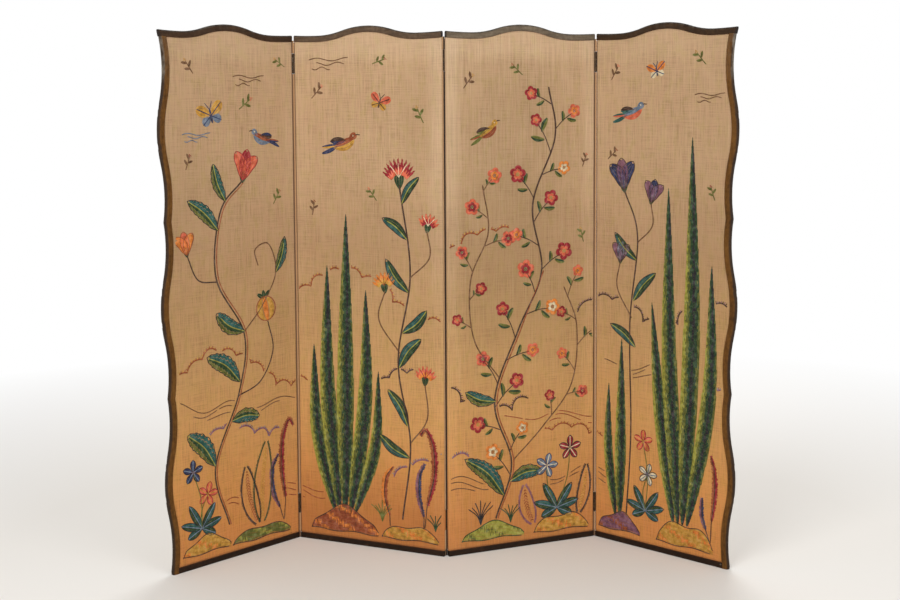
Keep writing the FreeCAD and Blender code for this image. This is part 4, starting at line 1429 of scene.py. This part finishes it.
def right_design(work):
    """Panel 4: two sheaves of striped blades, a stem of tulips, star flowers and plumes."""
    work.sheaf((
        ((328, 112), (236, 860), 54, 10), ((346, 112), (300, 1250), 62, 16),
        ((364, 112), (392, 1420), 68, -16), ((382, 112), (470, 1000), 58, -36),
        ((88, 92), (58, 560), 40, 16), ((106, 92), (112, 720), 46, 0),
    ))
    work.mound(("mauve", "rust", "dark_brown"), (104, 44), 88, 70)
    work.mound(sandy_hill, (372, 42), 112, 92)
    work.line("dark_brown", [(134, 98), (152, 400), (146, 780), (176, 1080), (120, 1240)], 5.0)
    work.line("mid_brown", [(152, 800), (92, 900), (104, 990)])
    work.line("mid_brown", [(176, 1060), (236, 1120), (230, 1200)])
    work.bell(("navy", "mauve", "dark_green", "dark_brown"), (120, 1240), 1.7, 108)
    work.bell(("mauve", "grey_blue", "dark_green", "dark_brown"), (104, 990), 1.5, 74)
    work.bell(("mauve", "navy", "dark_green", "dark_brown"), (230, 1200), 1.35, 80)
    work.leaves(narrow_leaf, (
        ((168, 700), (64, 770), 30, -8), ((160, 860), (250, 960), 32, 8), ((172, 1000), (82, 1090), 30, 8),
    ))
    star_colours = (("coral", "ochre", "crimson", "charcoal"), ("cream", "grey_blue", "charcoal", "crimson"))
    work.star_plant(star_colours, (214, 134), ((204, 376), (222, 262)), 39)
    work.plume(red_plume, (474, 78), ((478, 150), (488, 230), (488, 310), (474, 368)), 14)
    work.plume(mauve_plume, (470, 78), ((456, 116), (440, 160), (440, 220)), 12)
    work.wisp("mid_brown", (400, 1560), 110)
    work.bird(("grey_blue", "teal", "coral", "dark_brown"), (150, 1500), 104, 1)
    work.butterfly(("orange", "cream", "navy"), (250, 1640), 70, 0.2)


designs = (left_design, inner_left_design, inner_right_design, right_design)

# Hill lines that run on over the seams: two threads, and places counted from panel 1's left edge
hill_lines = (
    (warm_ridge, ((40, 610), (130, 690), (260, 700), (380, 640), (470, 560), (600, 560), (720, 640))),
    (cool_ridge, ((40, 430), (120, 400), (230, 450), (330, 430), (430, 380), (560, 420))),
    (warm_ridge, ((560, 860), (660, 930), (790, 950), (900, 890), (1010, 800), (1120, 790))),
    (dark_ridge, ((860, 560), (960, 620), (1090, 600), (1200, 500), (1320, 470), (1420, 520))),
    (cool_ridge, ((800, 300), (900, 250), (1010, 300), (1120, 340), (1230, 300), (1330, 240))),
    (warm_ridge, ((1120, 1010), (1220, 1090), (1330, 1100), (1420, 1040))),
    (warm_ridge, ((1380, 330), (1480, 390), (1600, 400), (1720, 340), (1820, 330), (1940, 390))),
    (dark_ridge, ((1560, 760), (1660, 840), (1780, 850), (1900, 780), (2010, 790), (2120, 860), (2220, 850))),
    (cool_ridge, ((1900, 560), (2010, 600), (2120, 560), (2210, 590))),
)

# Furrows between the hills: a thread, and places counted as the hill lines' are
furrow_lines = (
    ("rust", ((170, 170), (260, 205), (340, 180), (450, 215), (560, 190), (640, 170), (740, 200))),
    ("mid_brown", ((60, 560), (150, 520), (260, 540), (360, 500), (470, 520), (560, 500))),
    ("mid_brown", ((850, 250), (960, 290), (1060, 250), (1160, 270), (1270, 235), (1380, 260))),
    ("rust", ((1330, 470), (1440, 440), (1540, 470), (1660, 430), (1760, 450), (1860, 430))),
    ("mid_brown", ((1420, 250), (1530, 225), (1650, 260), (1760, 230), (1880, 250), (2010, 225))),
    ("mid_brown", ((1720, 640), (1830, 620), (1940, 650), (2060, 610), (2180, 640))),
)

# Scattered sprigs: panel, threads, place, size and turn
sprig_table = (
    (0, ("olive", "coral"), (350, 1540), 64, 0.6), (0, ("olive", "ochre"), (500, 1680), 52, 2.6),
    (0, ("mid_brown", "crimson"), (110, 1350), 50, 1.2), (0, ("mid_brown", "ochre"), (120, 1660), 56, 2.2),
    (0, ("olive", "rust"), (480, 1220), 54, 1.0), (1, ("mid_brown", "coral"), (90, 1580), 60, 0.8),
    (1, ("olive", "ochre"), (480, 1500), 60, 2.0), (1, ("olive", "crimson"), (330, 1680), 52, 0.3),
    (1, ("mid_brown", "rust"), (70, 1180), 50, 1.4), (1, ("olive", "coral"), (300, 1230), 50, 2.2),
    (2, ("mid_brown", "ochre"), (80, 1610), 58, 0.9), (2, ("olive", "rust"), (260, 1650), 52, 2.4),
    (2, ("olive", "ochre"), (510, 1080), 50, 1.8), (2, ("mid_brown", "coral"), (520, 1340), 46, 1.2),
    (3, ("mid_brown", "coral"), (80, 1640), 56, 1.0), (3, ("olive", "ochre"), (420, 1680), 58, 2.3),
    (3, ("olive", "crimson"), (470, 1240), 48, 1.9), (3, ("mid_brown", "rust"), (70, 1360), 50, 0.7),
)


def on_every_panel(works, places):
    """Each panel's needlework that a line counted from panel 1's left edge crosses, with its places there."""
    for number, work in enumerate(works):
        moved = [(along - number * panel_width, height) for along, height in places]
        if moved[0][0] < panel_width and moved[-1][0] > 0:
            yield work, moved


def sew_ground_lines(works):
    """Put the hill lines and the furrows on every panel that they cross."""
    for colours, places in hill_lines:
        for work, moved in on_every_panel(works, places):
            work.ridge(colours, moved)
    for colour, places in furrow_lines:
        for work, moved in on_every_panel(works, places):
            work.furrow(colour, moved)


def scatter_sprigs(works):
    """Put the sprigs in the bare upper cloth."""
    for number, colours, place, size, turn in sprig_table:
        works[number].sprig(colours, place, size, turn)


# Dark, middle and light of the edging's grain. The top strips' tones differ from panel to panel as painted
# sheen: lighter and greyer on panels 2 and 3. The bottom strips' tones are the darkest.
top_tones_with_sheen = {
    "panel_1": ((24, 15, 8), (54, 36, 22), (86, 62, 40)),
    "panel_2": ((38, 27, 17), (80, 62, 46), (118, 98, 78)),
    "panel_3": ((52, 41, 30), (97, 84, 68), (140, 126, 106)),
    "panel_4": ((22, 13, 6), (50, 33, 17), (82, 58, 34)),
}
side_tones = ((32, 18, 5), (95, 61, 22), (128, 90, 42))
bottom_tones = ((16, 9, 4), (35, 21, 11), (60, 42, 26))
side_worn_from = 1600.0


def dress_hard_parts():
    """Give every wood and metal piece its finish."""
    bronze = metal_finish("aged_bronze", paint(58, 46, 34), paint(120, 96, 66), 0.85, 0.38)
    steel = metal_finish("dull_steel", paint(104, 98, 88), paint(170, 164, 152), 0.9, 0.34)
    for panel in panels:
        away = panel.across if panel.scalloped == "right" else -panel.across
        tones = top_tones_with_sheen[panel.body]
        top = wood_finish(panel, panel.body + "_top_wood", "X", panel.up, tones, panel_height - 30, 0.25)
        side = wood_finish(panel, panel.body + "_side_wood", "Z", away, side_tones, side_worn_from, 0.5)
        down = -panel.up
        bottom = wood_finish(panel, panel.body + "_bottom_wood", "X", down, bottom_tones, crest_height, 0.0)
        pine = pine_finish(panel)
        endings = {"top_edging": top, "side_edging": side, "bottom_edging": bottom,
                   "stile": pine, "rail": pine, "nails": steel, "screws": steel, "screw": steel}
        for name, node in frame["nodes"].items():
            for ending, material in endings.items():
                if name.startswith(panel.body) and name.endswith(ending):
                    give(node, material)
    for name, node in frame["nodes"].items():
        if name.endswith(("leaves", "pins")):
            give(node, bronze)


def give(node, material):
    """Put one finish on all of a node's faces."""
    node.data.materials.clear()
    node.data.materials.append(material)


def add_camera():
    """Camera at standing height before the middle of the screen, looking a little down."""
    place = Vector((-0.0141, -4.5314, 1.5032))
    yaw, pitch, roll = 0.0036, 0.0811, -0.0057
    ahead = Vector((math.sin(yaw) * math.cos(pitch), math.cos(yaw) * math.cos(pitch), -math.sin(pitch)))
    level = ahead.cross(Vector((0.0, 0.0, 1.0))).normalized()
    raised = level.cross(ahead)
    right = level * math.cos(roll) + raised * math.sin(roll)
    up = raised * math.cos(roll) - level * math.sin(roll)
    camera = bpy.data.objects.new("camera", bpy.data.cameras.new("camera"))
    camera.matrix_world = Matrix.Translation(place) @ Matrix((right, up, -ahead)).transposed().to_4x4()
    camera.data.sensor_width = 36.0
    camera.data.lens = 54.18
    camera.data.shift_y = -0.085
    bpy.context.scene.collection.objects.link(camera)
    bpy.context.scene.camera = camera


# Lamps: their size, what they face, and each one's place and power
lamp_size = 2.6
lamp_target = Vector((0.0, 0.0, 0.9))
lamps = {
    "key_lamp": ((-2.2, -4.2, 3.4), 150.0),
    "fill_lamp": ((3.2, -3.6, 2.2), 75.0),
    "back_lamp": ((0.8, 4.0, 3.2), 110.0),
}


def add_lamp(name, place, power):
    """Soft square lamp that faces the middle of the screen."""
    lamp = bpy.data.lights.new(name, "AREA")
    lamp.shape = "SQUARE"
    lamp.size = lamp_size
    lamp.energy = power
    holder = bpy.data.objects.new(name, lamp)
    holder.location = place
    holder.rotation_euler = (lamp_target - Vector(place)).to_track_quat("-Z", "Y").to_euler()
    bpy.context.scene.collection.objects.link(holder)


def add_studio():
    """Pale floor that catches the shadow, a white surround and three soft lamps."""
    reach = 9.0
    mesh = bpy.data.meshes.new("floor")
    corners = [(-reach, -reach, 0.0), (reach, -reach, 0.0), (reach, reach, 0.0), (-reach, reach, 0.0)]
    mesh.from_pydata(corners, [], [(0, 1, 2, 3)])
    floor = bpy.data.objects.new("floor", mesh)
    bpy.context.scene.collection.objects.link(floor)
    pale = Finish("pale_floor", base_color=paint(232, 228, 222), roughness=0.7, specular_ior_level=0.2)
    far = pale.node("ShaderNodeVectorMath", {0: pale.screen_point()}, output=1, operation="LENGTH")
    white = pale.node("ShaderNodeEmission", {"Color": (1.0, 1.0, 1.0, 1.0), "Strength": 1.0})
    surface = Wire(pale, pale.shader.outputs[0])
    share = far.clamp(1.6, 4.2) * pale.direct_rays()
    both = pale.node("ShaderNodeMixShader", {0: share, 1: surface, 2: white})
    pale.tree.links.new(both.socket, pale.tree.nodes["Material Output"].inputs["Surface"])
    floor.data.materials.append(pale.material)

    world = bpy.data.worlds.new("surround")
    bpy.context.scene.world = world
    surround = Surround(world)
    surround.shader.inputs["Color"].default_value = (1.0, 1.0, 1.0, 1.0)
    strength = surround.direct_rays() * 0.5 + 0.5
    surround.tree.links.new(strength.socket, surround.shader.inputs["Strength"])

    for name, (place, power) in lamps.items():
        add_lamp(name, place, power)
    bpy.context.scene.view_settings.view_transform = "Standard"


add_camera()
add_studio()
dress_hard_parts()
back_cloth = plain_linen_finish("back_cloth", (188, 160, 124), 1.7)
# The second colour is the painted shade down the bead's sides
welt_cloth = piping_finish("welt_cloth", (182, 140, 98), (88, 54, 30), (176, 136, 94))
# Painted shade: the back-hinged centre seam's welt is dark brown, as it lies deep in the gap's shade
painted_shade_welt_cloth = piping_finish("painted_shade_welt_cloth", (60, 38, 20), (34, 21, 12), (182, 144, 104))
threads = {name: thread_finish(name, tone) for name, tone in thread_table.items()}
works = [Needlework() for panel in panels]
for design, work in zip(designs, works):
    design(work)
scatter_sprigs(works)
sew_ground_lines(works)
for panel, work in zip(panels, works):
    cover, flat, area = front_linen(panel, front_linen_finish(panel))
    stitches = sew_pieces(panel, work, threads)
    back_linen(panel, back_cloth)
for seam, left_panel, face in seam_table:
    seam_welt(seam, panels[left_panel], face, welt_cloth if face == "front" else painted_shade_welt_cloth)
